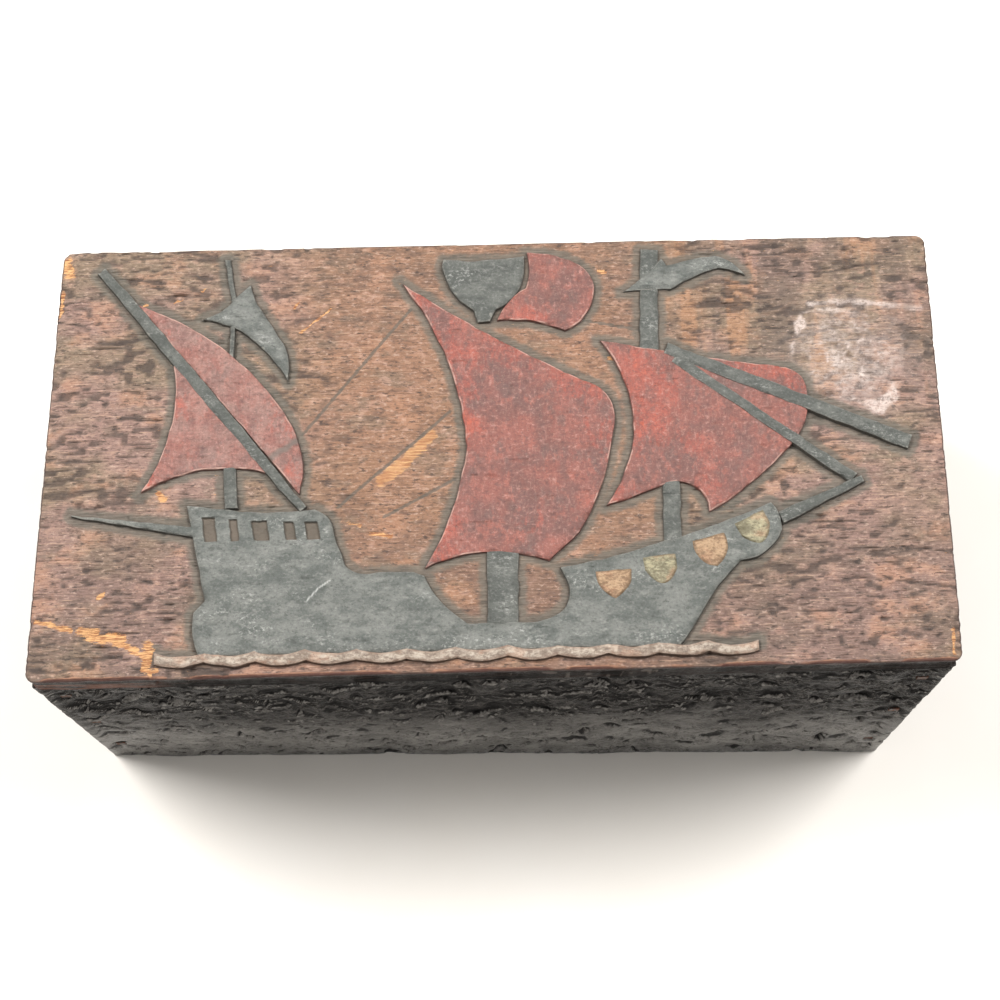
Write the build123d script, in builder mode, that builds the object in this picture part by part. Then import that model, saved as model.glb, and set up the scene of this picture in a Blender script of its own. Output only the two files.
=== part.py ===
from build123d import *
from math import hypot, sin
import os

# Wooden ditty box: four nailed walls round a bottom board, under a carved lid on two
# butt hinges. X runs along the front, -Y is the front, +Z is up, and the origin is the
# middle of the underside, level with the surface that the box stands on. Millimetres.

os.makedirs("parts", exist_ok=True)

# ---- The box ----
box_width = 255.0  # along the front
box_depth = 129.9  # front face to back face
body_height = 108.5  # underside to the seam below the lid
lid_thickness = 9.0  # to the ground of the carving
wall_thickness = 11.0
floor_thickness = 8.0
plan_skew = 3.0  # the back stands this far to the right of the front
front_wind = 2.5  # the foot of the hewn front leans in at the left, and out at the right
lid_arris = 0.8  # worn round along the lid's top edges

# ---- The hewn front: facets that the adze left ----
facet_columns = 16
facet_rows = 7
adze_depth = 2.2  # deepest cut below the front's plane
margin_width = 5.0  # shallower facets at the ends, round the nails
margin_depth = 0.7
corner_depth = 0.5  # worn away down the corners
rim_depth = 0.5  # worn away along the top and the foot

# ---- The carving: how high each thing stands over the ground ----
hull_relief = 1.4
sail_relief = 1.2
mast_relief = 0.9
spar_relief = 1.7
nest_relief = 1.5
pennant_relief = 1.1
shield_relief = 1.9
wave_relief = 1.6
window_recess = 0.8  # below the hull's own face
rigging_width = 0.7
rigging_depth = 0.5  # cut below the ground
carved_slope = 15.0  # degrees that the cut walls lean in
carving_y = -0.7  # the middle of the drawing, just in front of the middle of the lid

# ---- Butt hinges, sunk in the seam at the back ----
hinge_from_end = 52.0  # middle of a hinge to the nearer end of the box
hinge_length = 36.0
leaf_width = 9.0  # from the back face into the seam
leaf_thickness = 1.0
leaf_gap = 0.3  # between the two leaves of a closed hinge
knuckle_radius = 1.7
pin_radius = 0.8
pin_clearance = 0.05
knuckle_gap = 0.3  # along the pin, between one knuckle and the next
barrel_stand_off = 0.2  # between the knuckles and the back face
screws_per_leaf = 2
screw_spacing = 22.0
screw_length = 7.0
screw_head_radius = 2.0  # the cone of the head is as deep as a leaf is thick
screw_shank_radius = 1.0

# ---- Nails ----
nails_per_joint = 3
nail_spacing = 38.0
floor_nail_spacing = 36.0
nail_length = 26.0
nail_head_width = 3.0
nail_head_thickness = 0.8
nail_shank_width = 1.8  # under the head
nail_taper = 1.1  # degrees that each side of the shank leans in towards the point
nail_sunk = 1.6  # heads lie this far below the face
hole_clearance = 0.1  # round every nail and screw

half_width = box_width / 2
half_depth = box_depth / 2
seam_z = body_height
ground_z = body_height + lid_thickness
inner_front_y = -half_depth + wall_thickness
inner_back_y = half_depth - wall_thickness
barrel_y = half_depth + barrel_stand_off + knuckle_radius


def end_x(side, y, inset=0.0):
    """X of an end face (side -1 left, 1 right) at depth y, or of the line that far inside it."""
    return side * (half_width - inset) + plan_skew * y / box_depth


def plan(front_y, back_y, left_inset=0.0, right_inset=0.0):
    """Corners of a board's plan between two depths, on the skew of the box."""
    return (
        (end_x(-1, front_y, left_inset), front_y),
        (end_x(1, front_y, right_inset), front_y),
        (end_x(1, back_y, right_inset), back_y),
        (end_x(-1, back_y, left_inset), back_y),
    )


def front_face_y(x, z):
    """Y of the hewn front face: straight under the lid, twisted at its foot."""
    return -half_depth - front_wind * (x / half_width) * (1 - z / body_height)


def facet_depth(column, row):
    """How far a facet's corner lies below the front's plane."""
    if column in (0, facet_columns):
        return corner_depth
    cut = 0.5 + 0.5 * sin(2.4 * column + 4.1 * row + 1.3 * column * row)
    if row in (0, facet_rows):
        return rim_depth * cut
    if column in (1, facet_columns - 1):
        return margin_depth * cut
    return adze_depth * cut


def facet_corner(column, row):
    """The place of a facet's corner on the hewn front."""
    inner_width = box_width - 2 * margin_width
    x = -inner_width / 2 + inner_width * (column - 1) / (facet_columns - 2)
    x = min(max(x, -half_width), half_width)
    z = body_height * row / facet_rows
    y = front_face_y(x, z) + facet_depth(column, row)
    return (x + plan_skew * y / box_depth, y, z)


def finish(piece, name):
    """Label a finished piece and write its STEP file."""
    piece.label = name
    export_step(piece, f"parts/{name}.step")


def nail(extra=0.0, reach=0.0):
    """A square cut nail driven along +Z with its head's face at the origin, or the hole for it."""
    with BuildPart() as driven:
        with BuildSketch(Plane.XY.offset(-reach)):
            Rectangle(nail_head_width + 2 * extra, nail_head_width + 2 * extra)
        extrude(amount=reach + nail_head_thickness)
        with BuildSketch(Plane.XY.offset(nail_head_thickness)):
            Rectangle(nail_shank_width + 2 * extra, nail_shank_width + 2 * extra)
        extrude(amount=nail_length - nail_head_thickness, taper=nail_taper)
    return driven.part


def screw(extra=0.0):
    """A countersunk screw driven along +Z with its face at the origin, or the hole for it."""
    head = screw_head_radius + extra
    shank = screw_shank_radius + extra
    with BuildPart() as driven:
        with BuildSketch(Plane.XZ):
            with BuildLine():
                Polyline(
                    (0, 0),
                    (head, 0),
                    (shank, head - shank),
                    (shank, screw_length + extra),
                    (0, screw_length + extra),
                    close=True,
                )
            make_face()
        revolve(axis=Axis.Z)
    return driven.part


# Where the nails and screws go: each is a place with the fastener's own axis along +Z.
nail_steps = [i - (nails_per_joint - 1) / 2 for i in range(nails_per_joint)]
joint_heights = [body_height / 2 + nail_spacing * step for step in nail_steps]
floor_nail_depths = [floor_nail_spacing * step for step in nail_steps]

front_nail_places = []
back_nail_places = []
for side in (-1, 1):
    front_x = end_x(side, -half_depth, wall_thickness / 2)
    back_x = end_x(side, half_depth, wall_thickness / 2)
    for z in joint_heights:
        front_nail_places.append(Location((front_x, front_face_y(front_x, z) + nail_sunk, z), (-90, 0, 0)))
        back_nail_places.append(Location((back_x, half_depth - nail_sunk, z), (90, 0, 0)))

bottom_nail_places = []
for side in (-1, 1):
    for y in floor_nail_depths:
        place = (end_x(side, y, nail_sunk), y, floor_thickness / 2)
        bottom_nail_places.append(Location(place, (0, -side * 90, 0)))

hinge_middles = {"left": hinge_from_end - half_width, "right": half_width - hinge_from_end}
screw_offsets = [screw_spacing * (i - (screws_per_leaf - 1) / 2) for i in range(screws_per_leaf)]
screw_y = half_depth - leaf_width / 2
lid_screw_places = []
body_screw_places = []
for middle in hinge_middles.values():
    for offset in screw_offsets:
        lid_screw_places.append(Location((middle + offset, screw_y, seam_z + leaf_gap / 2)))
        body_screw_places.append(Location((middle + offset, screw_y, seam_z - leaf_gap / 2), (180, 0, 0)))


# ---- Front board: hewn with an adze in shallow facets, its face in wind ----
front_corners = [[facet_corner(i, j) for j in range(facet_rows + 1)] for i in range(facet_columns + 1)]
inner_foot = [(end_x(side, inner_front_y), inner_front_y, 0) for side in (-1, 1)]
inner_head = [(end_x(side, inner_front_y), inner_front_y, body_height) for side in (-1, 1)]
board_sides = [
    [inner_foot[0], *front_corners[0], inner_head[0]],
    [inner_foot[1], *front_corners[-1], inner_head[1]],
    [inner_foot[0], *[column[0] for column in front_corners], inner_foot[1]],
    [inner_head[0], *[column[-1] for column in front_corners], inner_head[1]],
    [inner_foot[0], inner_foot[1], inner_head[1], inner_head[0]],
]
for i in range(facet_columns):
    for j in range(facet_rows):
        low_left, low_right = front_corners[i][j], front_corners[i + 1][j]
        high_left, high_right = front_corners[i][j + 1], front_corners[i + 1][j + 1]
        if (i + j) % 2:
            board_sides += [[low_left, low_right, high_left], [low_right, high_right, high_left]]
        else:
            board_sides += [[low_left, low_right, high_right], [low_left, high_right, high_left]]
with BuildPart() as front_board:
    add(Solid(Shell([Face(Wire.make_polygon(side)) for side in board_sides])))
    with Locations(*front_nail_places):
        add(nail(hole_clearance, nail_sunk + front_wind), mode=Mode.SUBTRACT)
finish(front_board.part, "front_board")

# ---- Back board: notched along its top edge for the hinge leaves ----
with BuildPart() as back_board:
    with BuildSketch():
        Polygon(*plan(inner_back_y, half_depth), align=None)
    extrude(amount=body_height)
    with BuildSketch(Plane.XY.offset(seam_z)):
        for middle in hinge_middles.values():
            with Locations((middle, half_depth)):
                Rectangle(hinge_length, leaf_width, align=(Align.CENTER, Align.MAX))
    extrude(amount=-(leaf_gap / 2 + leaf_thickness), mode=Mode.SUBTRACT)
    with Locations(*body_screw_places):
        add(screw(hole_clearance), mode=Mode.SUBTRACT)
    with Locations(*back_nail_places):
        add(nail(hole_clearance, nail_sunk), mode=Mode.SUBTRACT)
finish(back_board.part, "back_board")

# ---- End boards: between the front and the back ----
for side, name in ((-1, "left_end_board"), (1, "right_end_board")):
    with BuildPart() as end_board:
        with BuildSketch():
            Polygon(
                (end_x(side, inner_front_y), inner_front_y),
                (end_x(side, inner_front_y, wall_thickness), inner_front_y),
                (end_x(side, inner_back_y, wall_thickness), inner_back_y),
                (end_x(side, inner_back_y), inner_back_y),
                align=None,
            )
        extrude(amount=body_height)
        with Locations(*front_nail_places, *back_nail_places):
            add(nail(hole_clearance), mode=Mode.SUBTRACT)
        with Locations(*bottom_nail_places):
            add(nail(hole_clearance, nail_sunk), mode=Mode.SUBTRACT)
    finish(end_board.part, name)

# ---- Bottom board: inside the four walls, level with their lower edges ----
with BuildPart() as bottom_board:
    with BuildSketch():
        Polygon(*plan(inner_front_y, inner_back_y, wall_thickness, wall_thickness), align=None)
    extrude(amount=floor_thickness)
    with Locations(*bottom_nail_places):
        add(nail(hole_clearance), mode=Mode.SUBTRACT)
finish(bottom_board.part, "bottom_board")

# ---- Nails: one group per joint line ----
for places, name in (
    (front_nail_places, "front_nails"),
    (back_nail_places, "back_nails"),
    (bottom_nail_places, "bottom_nails"),
):
    with BuildPart() as nails:
        with Locations(*places):
            add(nail())
    finish(nails.part, name)

# ---- Hinges: the body leaf has the outer knuckles, the lid leaf the middle one ----
knuckle_length = hinge_length / 3
for side_name, middle in hinge_middles.items():
    for owner, turned, knuckle_starts in (("lid", 1, (1,)), ("body", -1, (0, 2))):
        leaf_z = seam_z + turned * leaf_gap / 2
        with BuildPart() as leaf:
            with BuildSketch(Plane.XY.offset(leaf_z)):
                with Locations((middle, half_depth)):
                    Rectangle(hinge_length, leaf_width, align=(Align.CENTER, Align.MAX))
            extrude(amount=turned * leaf_thickness)
            for start in knuckle_starts:
                inner_gap = knuckle_gap / 2 if owner == "body" else knuckle_gap
                length = knuckle_length - inner_gap
                left_x = middle - hinge_length / 2 + start * knuckle_length
                if start:
                    left_x += knuckle_gap / 2
                with BuildSketch(Plane.YZ.offset(left_x)):
                    with Locations((barrel_y, seam_z)):
                        Circle(knuckle_radius)
                    with Locations((half_depth, leaf_z)):
                        Rectangle(
                            barrel_y - half_depth,
                            leaf_thickness,
                            align=(Align.MIN, Align.MIN if turned > 0 else Align.MAX),
                        )
                extrude(amount=length)
            with BuildSketch(Plane.YZ.offset(middle)):
                with Locations((barrel_y, seam_z)):
                    Circle(pin_radius + pin_clearance)
            extrude(amount=hinge_length, both=True, mode=Mode.SUBTRACT)
            with Locations(*(lid_screw_places if owner == "lid" else body_screw_places)):
                add(screw(hole_clearance), mode=Mode.SUBTRACT)
        finish(leaf.part, f"hinge_{side_name}_{owner}_leaf")

    with BuildPart() as pin:
        with BuildSketch(Plane.YZ.offset(middle)):
            with Locations((barrel_y, seam_z)):
                Circle(pin_radius)
        extrude(amount=hinge_length / 2, both=True)
    finish(pin.part, f"hinge_{side_name}_pin")

for places, name in ((lid_screw_places, "lid_hinge_screws"), (body_screw_places, "body_hinge_screws")):
    with BuildPart() as screws:
        with Locations(*places):
            add(screw())
    finish(screws.part, name)


# ---- The carved ship: outlines, X and Y in millimetres from the middle of the drawing ----
def carving_plane(height=0.0):
    """The plane of the drawing, at a height over the ground of the carving."""
    return Plane((0, carving_y, ground_z + height))


def outline(*stations):
    """A closed figure through stations (x, y, bow) that go clockwise: the stretch that leaves
    a station is straight, or an arc that bows outwards by that many millimetres."""
    stretches = list(zip(stations, stations[1:] + stations[:1]))
    with BuildSketch() as figure:
        with BuildLine():
            for (x0, y0, bow), (x1, y1, _) in reversed(stretches):
                if bow:
                    SagittaArc((x1, y1), (x0, y0), -bow)
                else:
                    Line((x1, y1), (x0, y0))
        make_face()
    return figure.sketch


def spar(tip_a, tip_b, width_a, width_b, belly=0.0):
    """A straight tapered pole between two points, each side bowed outwards by the belly."""
    run_x = tip_b[0] - tip_a[0]
    run_y = tip_b[1] - tip_a[1]
    across = (-run_y / hypot(run_x, run_y) / 2, run_x / hypot(run_x, run_y) / 2)
    return outline(
        (tip_a[0] - across[0] * width_a, tip_a[1] - across[1] * width_a, 0),
        (tip_a[0] + across[0] * width_a, tip_a[1] + across[1] * width_a, belly),
        (tip_b[0] + across[0] * width_b, tip_b[1] + across[1] * width_b, 0),
        (tip_b[0] - across[0] * width_b, tip_b[1] - across[1] * width_b, belly),
    )


# Hull, clockwise from the stern's top corner: rail, waist, bow rail, stem, keel line, and
# the pole that runs out from the stern
hull = outline(
    (-87, -14.5, 0),
    (-64.7, -17.5, 0),
    (-50.6, -16.7, 1.3),
    (-45.2, -23.8, 0),
    (-42.4, -32.9, -0.6),
    (-38.4, -35.6, 0),
    (-23.5, -35.4, 0),
    (-20.4, -36.6, -1.2),
    (-9, -50.5, 0),
    (10, -50.7, -5.8),
    (16.8, -35.5, -1.6),
    (76.6, -17.6, 1.0),
    (79.4, -26.0, 2.2),
    (67.2, -34.8, 0),
    (60.6, -41.6, 0),
    (52.5, -54, 0),
    (49, -58.5, 0),
    (-82, -58.5, 0.9),
    (-83.8, -46, 0),
    (-80.9, -42.6, 0),
    (-84.9, -24.3, 0),
    (-118.8, -17.7, 0),
    (-118.8, -16.8, 0),
    (-85.6, -20.9, 0),
)

# Stern windows, leaning openings along the quarter: left end, top and width of each
windows = (
    (-82.3, -18.6, 3.7),
    (-74.9, -19.2, 2.5),
    (-68.7, -19.9, 4.6),
    (-59.7, -20.3, 3.1),
    (-53.8, -20.5, 3.8),
)
window_foot = -25.8
window_lean = 1.0  # the foot stands this far to the right of the top


def pointed_shield(width, height, belly):
    """A shield with a straight top and two sides bowed by the belly that meet at its foot."""
    return outline(
        (-width / 2, height / 2, 0),
        (width / 2, height / 2, belly),
        (0, -height / 2, belly),
    )


def round_shield(width, height):
    """A shield with a straight top and a round foot."""
    return outline(
        (-width / 2, height / 2, 0),
        (width / 2, height / 2, 0),
        (width / 2, 0, height / 2),
        (-width / 2, 0, 0),
    )


# Shields hung on the bow rail: middle, turn and figure of each
shields = (
    (31.9, -40.8, 2.0, pointed_shield(10.8, 8.8, 1.6)),
    (44.9, -36.8, 5.0, round_shield(9.7, 8.6)),
    (59.4, -32.0, 13.0, pointed_shield(9.8, 9.4, 2.2)),
    (71.9, -25.8, 26.0, round_shield(9.8, 8.8)),
)

# Sails, clockwise from the upper left tip of each
mizzen_upper = outline((-103.6, 47.9, 5.4), (-57.5, 9.0, 1.9), (-55.0, -12.7, 0))
mizzen_lower = outline((-92.8, 31.5, 0), (-62.2, -6.6, -4.5), (-100.5, -11.4, -4.6))
main_sail = outline(
    (-27, 53.7, -1.4),
    (26, 20.8, 2.6),
    (34.4, 9, 2.0),
    (23, -25.3, 0),
    (14, -33.7, -3.8),
    (-20.7, -35.2, -2.0),
    (-8.2, 1.5, -4.0),
)
fore_sail = outline(
    (30.6, 33.4, -0.5),
    (84.2, 23.5, 1.9),
    (90, 15, 1.7),
    (83.7, -1.1, 1.2),
    (59.1, -20.5, 0),
    (59.0, -17.4, -3.0),
    (47.5, -11.8, 0.3),
    (30.2, -18.0, -9.0),
)
topsail = outline(
    (10.6, 62, 1.2),
    (26.2, 57.8, 2.2),
    (29.4, 45, 1.4),
    (21, 36.2, -1.4),
    (1.2, 39.8, 1.2),
    (10, 50.5, -0.8),
)

# Masts, upright
mast_stretches = (
    spar((-74.2, -16), (-75.0, -3), 4.0, 3.8),
    spar((-75.4, 30), (-75.2, 49.5), 1.6, 1.8),
    spar((-75.2, 48.5), (-77.4, 61.9), 1.8, 2.0),
    spar((0.9, -52), (1.4, -29), 9.0, 9.0),
    spar((45.1, 29), (46.9, 62.3), 5.8, 5.4),
    spar((48.6, -29.5), (49.2, -10), 5.2, 5.2),
)

# Yards and spars over the sails, and the bowsprit
yards = (
    spar((-114.0, 58.8), (-54.0, -17.0), 3.0, 2.6, 0.6),
    spar((49.8, 30.0), (117.6, -0.8), 4.0, 4.8),
    spar((52.0, 27.0), (100.7, -11.3), 3.4, 3.6),
    spar((103.2, -11.3), (79.0, -22.6), 2.4, 4.2),
)

# Crow's nest: a basket, wide at its rim
nest = outline(
    (-14, 60.4, -0.8),
    (10.2, 60.8, 0.6),
    (8.6, 50, 0.8),
    (1.2, 43.2, 0),
    (-0.4, 39.4, 0),
    (-4.2, 39.4, 0),
    (-5.4, 43.0, 1.2),
    (-13.6, 54, 0.4),
)

# Pennants: a hooked one at the mizzen, and a long one that waves at the fore
mizzen_pennant = outline(
    (-84.6, 42.3, -1.2),
    (-74.9, 49.3, 0),
    (-70.3, 53.5, 0),
    (-68.4, 47.6, 0),
    (-59.9, 33.6, 0.7),
    (-58.8, 22.1, -1.2),
    (-73.0, 38.2, 0),
    (-79.5, 41.4, 0),
)
fore_pennant = outline(
    (38.3, 48.3, -0.6),
    (50.3, 59.3, 0),
    (51.8, 56.8, 0.3),
    (66, 59.8, 1.4),
    (74.9, 52.6, -0.6),
    (67, 55.5, -0.4),
    (52.5, 48.8, 0),
)

# Waves: a long strip along the foot of the hull, with sharp crests and a scalloped foot
wave_start = -94.0
wave_pitch = 13.7
wave_count = 12
wave_crest_y = -56.8
wave_foot_y = -60.4
wave_dip = 1.3  # the top sinks this far between two crests
wave_fall = 1.1  # each scallop hangs this far
wave_end = wave_start + wave_pitch * wave_count
waves = outline(
    *[(wave_start + wave_pitch * i, wave_crest_y, -wave_dip) for i in range(wave_count)],
    (wave_end, wave_crest_y, 0),
    *[(wave_end - wave_pitch * i, wave_foot_y, wave_fall) for i in range(wave_count)],
    (wave_start, wave_foot_y, 0),
)

rigging = (
    ((-54.5, 6.2), (-23.5, 44.6)),
    ((-44.4, -16.0), (-12.5, 12.2)),
    ((-31.7, -19.3), (-11.5, -8.5)),
    ((25.0, 40.2), (42.6, 36.4)),
)

# ---- Lid: one board, carved on top, with notches under its back edge for the leaves ----
with BuildPart() as lid_board:
    with BuildSketch(Plane.XY.offset(seam_z)):
        Polygon(*plan(-half_depth, half_depth), align=None)
    extrude(amount=lid_thickness)
    fillet(lid_board.faces().sort_by(Axis.Z)[-1].edges(), lid_arris)
    for line_start, line_end in rigging:
        with BuildSketch(carving_plane()):
            add(spar(line_start, line_end, rigging_width, rigging_width))
        extrude(amount=-rigging_depth, mode=Mode.SUBTRACT)
    for figures, relief in (
        ((hull,), hull_relief),
        ((mizzen_upper, mizzen_lower, main_sail, fore_sail, topsail), sail_relief),
        (mast_stretches, mast_relief),
        (yards, spar_relief),
        ((nest,), nest_relief),
        ((mizzen_pennant,), pennant_relief),
    ):
        for figure in figures:
            with BuildSketch(carving_plane()):
                add(figure)
            extrude(amount=relief, taper=carved_slope)
    for figure, relief in ((fore_pennant, pennant_relief), (waves, wave_relief)):
        with BuildSketch(carving_plane()):
            add(figure)
        extrude(amount=relief)
    for middle_x, middle_y, turn, figure in shields:
        with BuildSketch(carving_plane()):
            with Locations(Location((middle_x, middle_y, 0), (0, 0, turn))):
                add(figure)
        extrude(amount=shield_relief, taper=carved_slope)
    for window_left, window_top, window_width in windows:
        with BuildSketch(carving_plane(hull_relief)):
            Polygon(
                (window_left, window_top),
                (window_left + window_width, window_top),
                (window_left + window_width + window_lean, window_foot),
                (window_left + window_lean, window_foot),
                align=None,
            )
        extrude(amount=-window_recess, mode=Mode.SUBTRACT)
    with BuildSketch(Plane.XY.offset(seam_z)):
        for middle in hinge_middles.values():
            with Locations((middle, half_depth)):
                Rectangle(hinge_length, leaf_width, align=(Align.CENTER, Align.MAX))
    extrude(amount=leaf_gap / 2 + leaf_thickness, mode=Mode.SUBTRACT)
    with Locations(*lid_screw_places):
        add(screw(hole_clearance), mode=Mode.SUBTRACT)
finish(lid_board.part, "lid_board")
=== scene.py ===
import bpy
import numpy as np
from math import cos, hypot, pi, radians, sin
from mathutils import Matrix, Vector, kdtree
from mathutils.geometry import delaunay_2d_cdt


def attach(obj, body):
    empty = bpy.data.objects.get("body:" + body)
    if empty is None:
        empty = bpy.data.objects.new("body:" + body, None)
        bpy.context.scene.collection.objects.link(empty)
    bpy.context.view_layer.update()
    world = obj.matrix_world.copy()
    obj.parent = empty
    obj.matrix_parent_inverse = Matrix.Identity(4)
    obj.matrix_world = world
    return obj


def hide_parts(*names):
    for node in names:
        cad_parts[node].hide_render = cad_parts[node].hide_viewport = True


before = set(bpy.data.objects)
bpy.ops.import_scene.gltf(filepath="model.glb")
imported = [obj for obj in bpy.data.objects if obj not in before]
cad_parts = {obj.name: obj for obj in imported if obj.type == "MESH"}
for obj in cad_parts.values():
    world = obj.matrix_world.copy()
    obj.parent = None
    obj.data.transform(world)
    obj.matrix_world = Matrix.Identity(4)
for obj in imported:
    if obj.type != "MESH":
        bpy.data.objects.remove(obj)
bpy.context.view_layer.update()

# ---- Studio ----
# A pale table top, soft lamps at the two back corners and overhead, and a dim white room.
# The camera looks down on the carved lid from a little in front of it.
MM = 0.001
camera_place = Vector((-4.183, -176.152, 571.978)) * MM
camera_right = Vector((0.99968109, -0.02513414, 0.00244838))
camera_up = Vector((0.02288561, 0.94267857, 0.33291646))
camera_turn = Matrix((camera_right, camera_up, camera_right.cross(camera_up))).transposed()
camera_data = bpy.data.cameras.new("camera")
camera_data.sensor_width = 36.0
camera_data.lens = 61.916
camera_data.clip_start = 0.01
scene = bpy.context.scene


def new_object(name, data):
    """An object made from some data, in the scene."""
    made = bpy.data.objects.new(name, data)
    scene.collection.objects.link(made)
    return made


camera = new_object("camera", camera_data)
camera.matrix_world = Matrix.Translation(camera_place) @ camera_turn.to_4x4()
scene.camera = camera
scene.view_settings.view_transform = "Standard"


class Wire:
    """A value that runs through a shader. Sums, differences and products of wires add nodes."""

    def __init__(self, socket):
        self.socket, self.tree = socket, socket.id_data

    def __add__(self, other):
        return calculate("ADD", self, other)

    def __radd__(self, other):
        return calculate("ADD", other, self)

    def __sub__(self, other):
        return calculate("SUBTRACT", self, other)

    def __rsub__(self, other):
        return calculate("SUBTRACT", other, self)

    def __mul__(self, other):
        return calculate("MULTIPLY", self, other)

    def __abs__(self):
        return calculate("ABSOLUTE", self)


def feed(socket, value):
    """Gives an input socket a wire or a plain value."""
    if isinstance(value, Wire):
        value.tree.links.new(value.socket, socket)
    else:
        socket.default_value = value


def node(tree, kind, settings=None, **inputs):
    """A new node: its settings, then its input sockets by name, each with a value or a wire."""
    made = tree.nodes.new("ShaderNode" + kind)
    for name, value in (settings or {}).items():
        setattr(made, name, value)
    for name, value in inputs.items():
        feed(made.inputs[name.replace("_", " ")], value)
    return made


def calculate(operation, first, second=0.0):
    """One step of arithmetic on two values, at least one of them a wire."""
    tree = first.tree if isinstance(first, Wire) else second.tree
    made = node(tree, "Math", {"operation": operation})
    feed(made.inputs[0], first)
    feed(made.inputs[1], second)
    return Wire(made.outputs[0])


def mask(value, low, high):
    """0 where value is below low, 1 where it is above high, and smooth between."""
    settings = {"interpolation_type": "SMOOTHSTEP"}
    made = node(value.tree, "MapRange", settings, Value=value, From_Min=low, From_Max=high)
    return Wire(made.outputs["Result"])


def linear(tone):
    """A colour named by its screen values, 0 to 255."""
    steps = [channel / 255 for channel in tone]
    return (*[s / 12.92 if s < 0.04045 else ((s + 0.055) / 1.055) ** 2.4 for s in steps], 1.0)


def coat(amount, under, over):
    """The colour over laid on the colour under, by amount. Each is a wire or screen values."""
    made = node(amount.tree, "Mix", {"data_type": "RGBA"})
    feed(made.inputs[0], amount)
    for socket, tone in ((made.inputs[6], under), (made.inputs[7], over)):
        feed(socket, tone if isinstance(tone, Wire) else linear(tone))
    return Wire(made.outputs[2])


def stretched(place, size, detail=3.0, rough=0.55, centre=(0, 0, 0)):
    """Noise whose marks measure size = (x, y, z) millimetres, 0 to 1."""
    mapped = node(place.tree, "Mapping", {"vector_type": "TEXTURE"}, Vector=place, Location=centre)
    squeezed = node(place.tree, "VectorMath", {"operation": "MULTIPLY"})
    feed(squeezed.inputs[0], Wire(mapped.outputs[0]))
    feed(squeezed.inputs[1], [1 / (length * MM) for length in size])
    spread = Wire(squeezed.outputs[0])
    made = node(place.tree, "TexNoise", Vector=spread, Scale=1.0, Detail=detail, Roughness=rough)
    return Wire(made.outputs[0])


class Paint:
    """A new material in the making: its object coordinates and its colour, laid on in coats."""

    def __init__(self, name):
        self.material = bpy.data.materials.new(name)
        self.material.use_nodes = True
        self.tree = self.material.node_tree
        self.place = Wire(node(self.tree, "TexCoord").outputs["Object"])

    def noise(self, size, *looks):
        return stretched(self.place, size, *looks)

    def lay(self, amount, tone):
        self.colour = coat(amount, self.colour, tone)

    def finish(self, bump=None, **inputs):
        """The material, given its bump (height, distance, strength) and its shader's inputs."""
        shader = self.tree.nodes["Principled BSDF"]
        feed(shader.inputs["Base Color"], self.colour)
        for name, value in inputs.items():
            feed(shader.inputs[name.replace("_", " ")], value)
        if bump:
            height, distance, strength = bump
            raised = node(self.tree, "Bump", Height=height, Distance=distance, Strength=strength)
            feed(shader.inputs["Normal"], Wire(raised.outputs[0]))
        return self.material


table = Paint("table_white")
table.colour = coat(table.noise((60, 60, 60)), (243, 236, 226), (250, 245, 238))
bpy.ops.object.select_all(action="DESELECT")
bpy.ops.mesh.primitive_plane_add(size=8.0, location=(0, 0, -0.0001))
floor = bpy.context.object
floor.name = "table_top"
floor.data.materials.append(table.finish(Roughness=0.7))

room = bpy.data.worlds.new("room")
scene.world = room
room.use_nodes = True
daylight = room.node_tree.nodes["Background"]
daylight.inputs["Color"].default_value = (1.0, 0.995, 0.985, 1.0)
daylight.inputs["Strength"].default_value = 0.23

for lamp_name, lamp_place, lamp_size, lamp_power in (
    ("back_left_lamp", (-0.74, 0.33, 1.12), 0.6, 19.4),
    ("back_right_lamp", (0.76, 0.28, 1.12), 0.6, 17.0),
    ("top_lamp", (0.0, -0.15, 1.5), 0.9, 3.0),
):
    lamp_data = bpy.data.lights.new(lamp_name, "AREA")
    lamp_data.size = lamp_size
    lamp_data.energy = lamp_power
    lamp = new_object(lamp_name, lamp_data)
    lamp.location = lamp_place
    lamp.rotation_euler = (-Vector(lamp_place)).to_track_quat("-Z", "Y").to_euler()

# ---- Bottom board ----
# A plain sawn board that fills the space inside the four walls, level with their lower edges.
# Bare wood, never painted: rough from the saw underneath, planed and greyed with use inside.
PLAN_SKEW = 3.0  # the back stands this far to the right of the front
BOX_WIDTH, BOX_DEPTH, BODY_HEIGHT, LID_THICKNESS = 255.0, 129.9, 108.5, 9.0  # millimetres
WALL, FLOOR_BOARD = 11.0, 8.0
HALF_WIDTH, HALF_DEPTH = BOX_WIDTH / 2, BOX_DEPTH / 2
# Where the ends cover the front and the back board, in metres: from bare to stained
COVERED_X, COVERED_Y, COVERED_Z = (0.1163, 0.1168), (0.0536, 0.0539), (0.1084, 0.1082)


def rough(x, y, seed):
    """Smooth random heights over a plane, -1 to 1, with lumps about one unit across."""
    cell_x, cell_y = np.floor(x).astype(np.int64), np.floor(y).astype(np.int64)
    part_x, part_y = x - cell_x, y - cell_y
    part_x, part_y = part_x**2 * (3 - 2 * part_x), part_y**2 * (3 - 2 * part_y)

    def corner(i, j):
        value = (i * 374761393 + j * 668265263 + seed * 144665) & 0xFFFFFFFF
        value = ((value ^ (value >> 13)) * 1274126177) & 0xFFFFFFFF
        return ((value ^ (value >> 16)) & 0xFFFF) / 32767.5 - 1

    near = corner(cell_x, cell_y) * (1 - part_x) + corner(cell_x + 1, cell_y) * part_x
    far = corner(cell_x, cell_y + 1) * (1 - part_x) + corner(cell_x + 1, cell_y + 1) * part_x
    return near * (1 - part_y) + far * part_y


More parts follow.
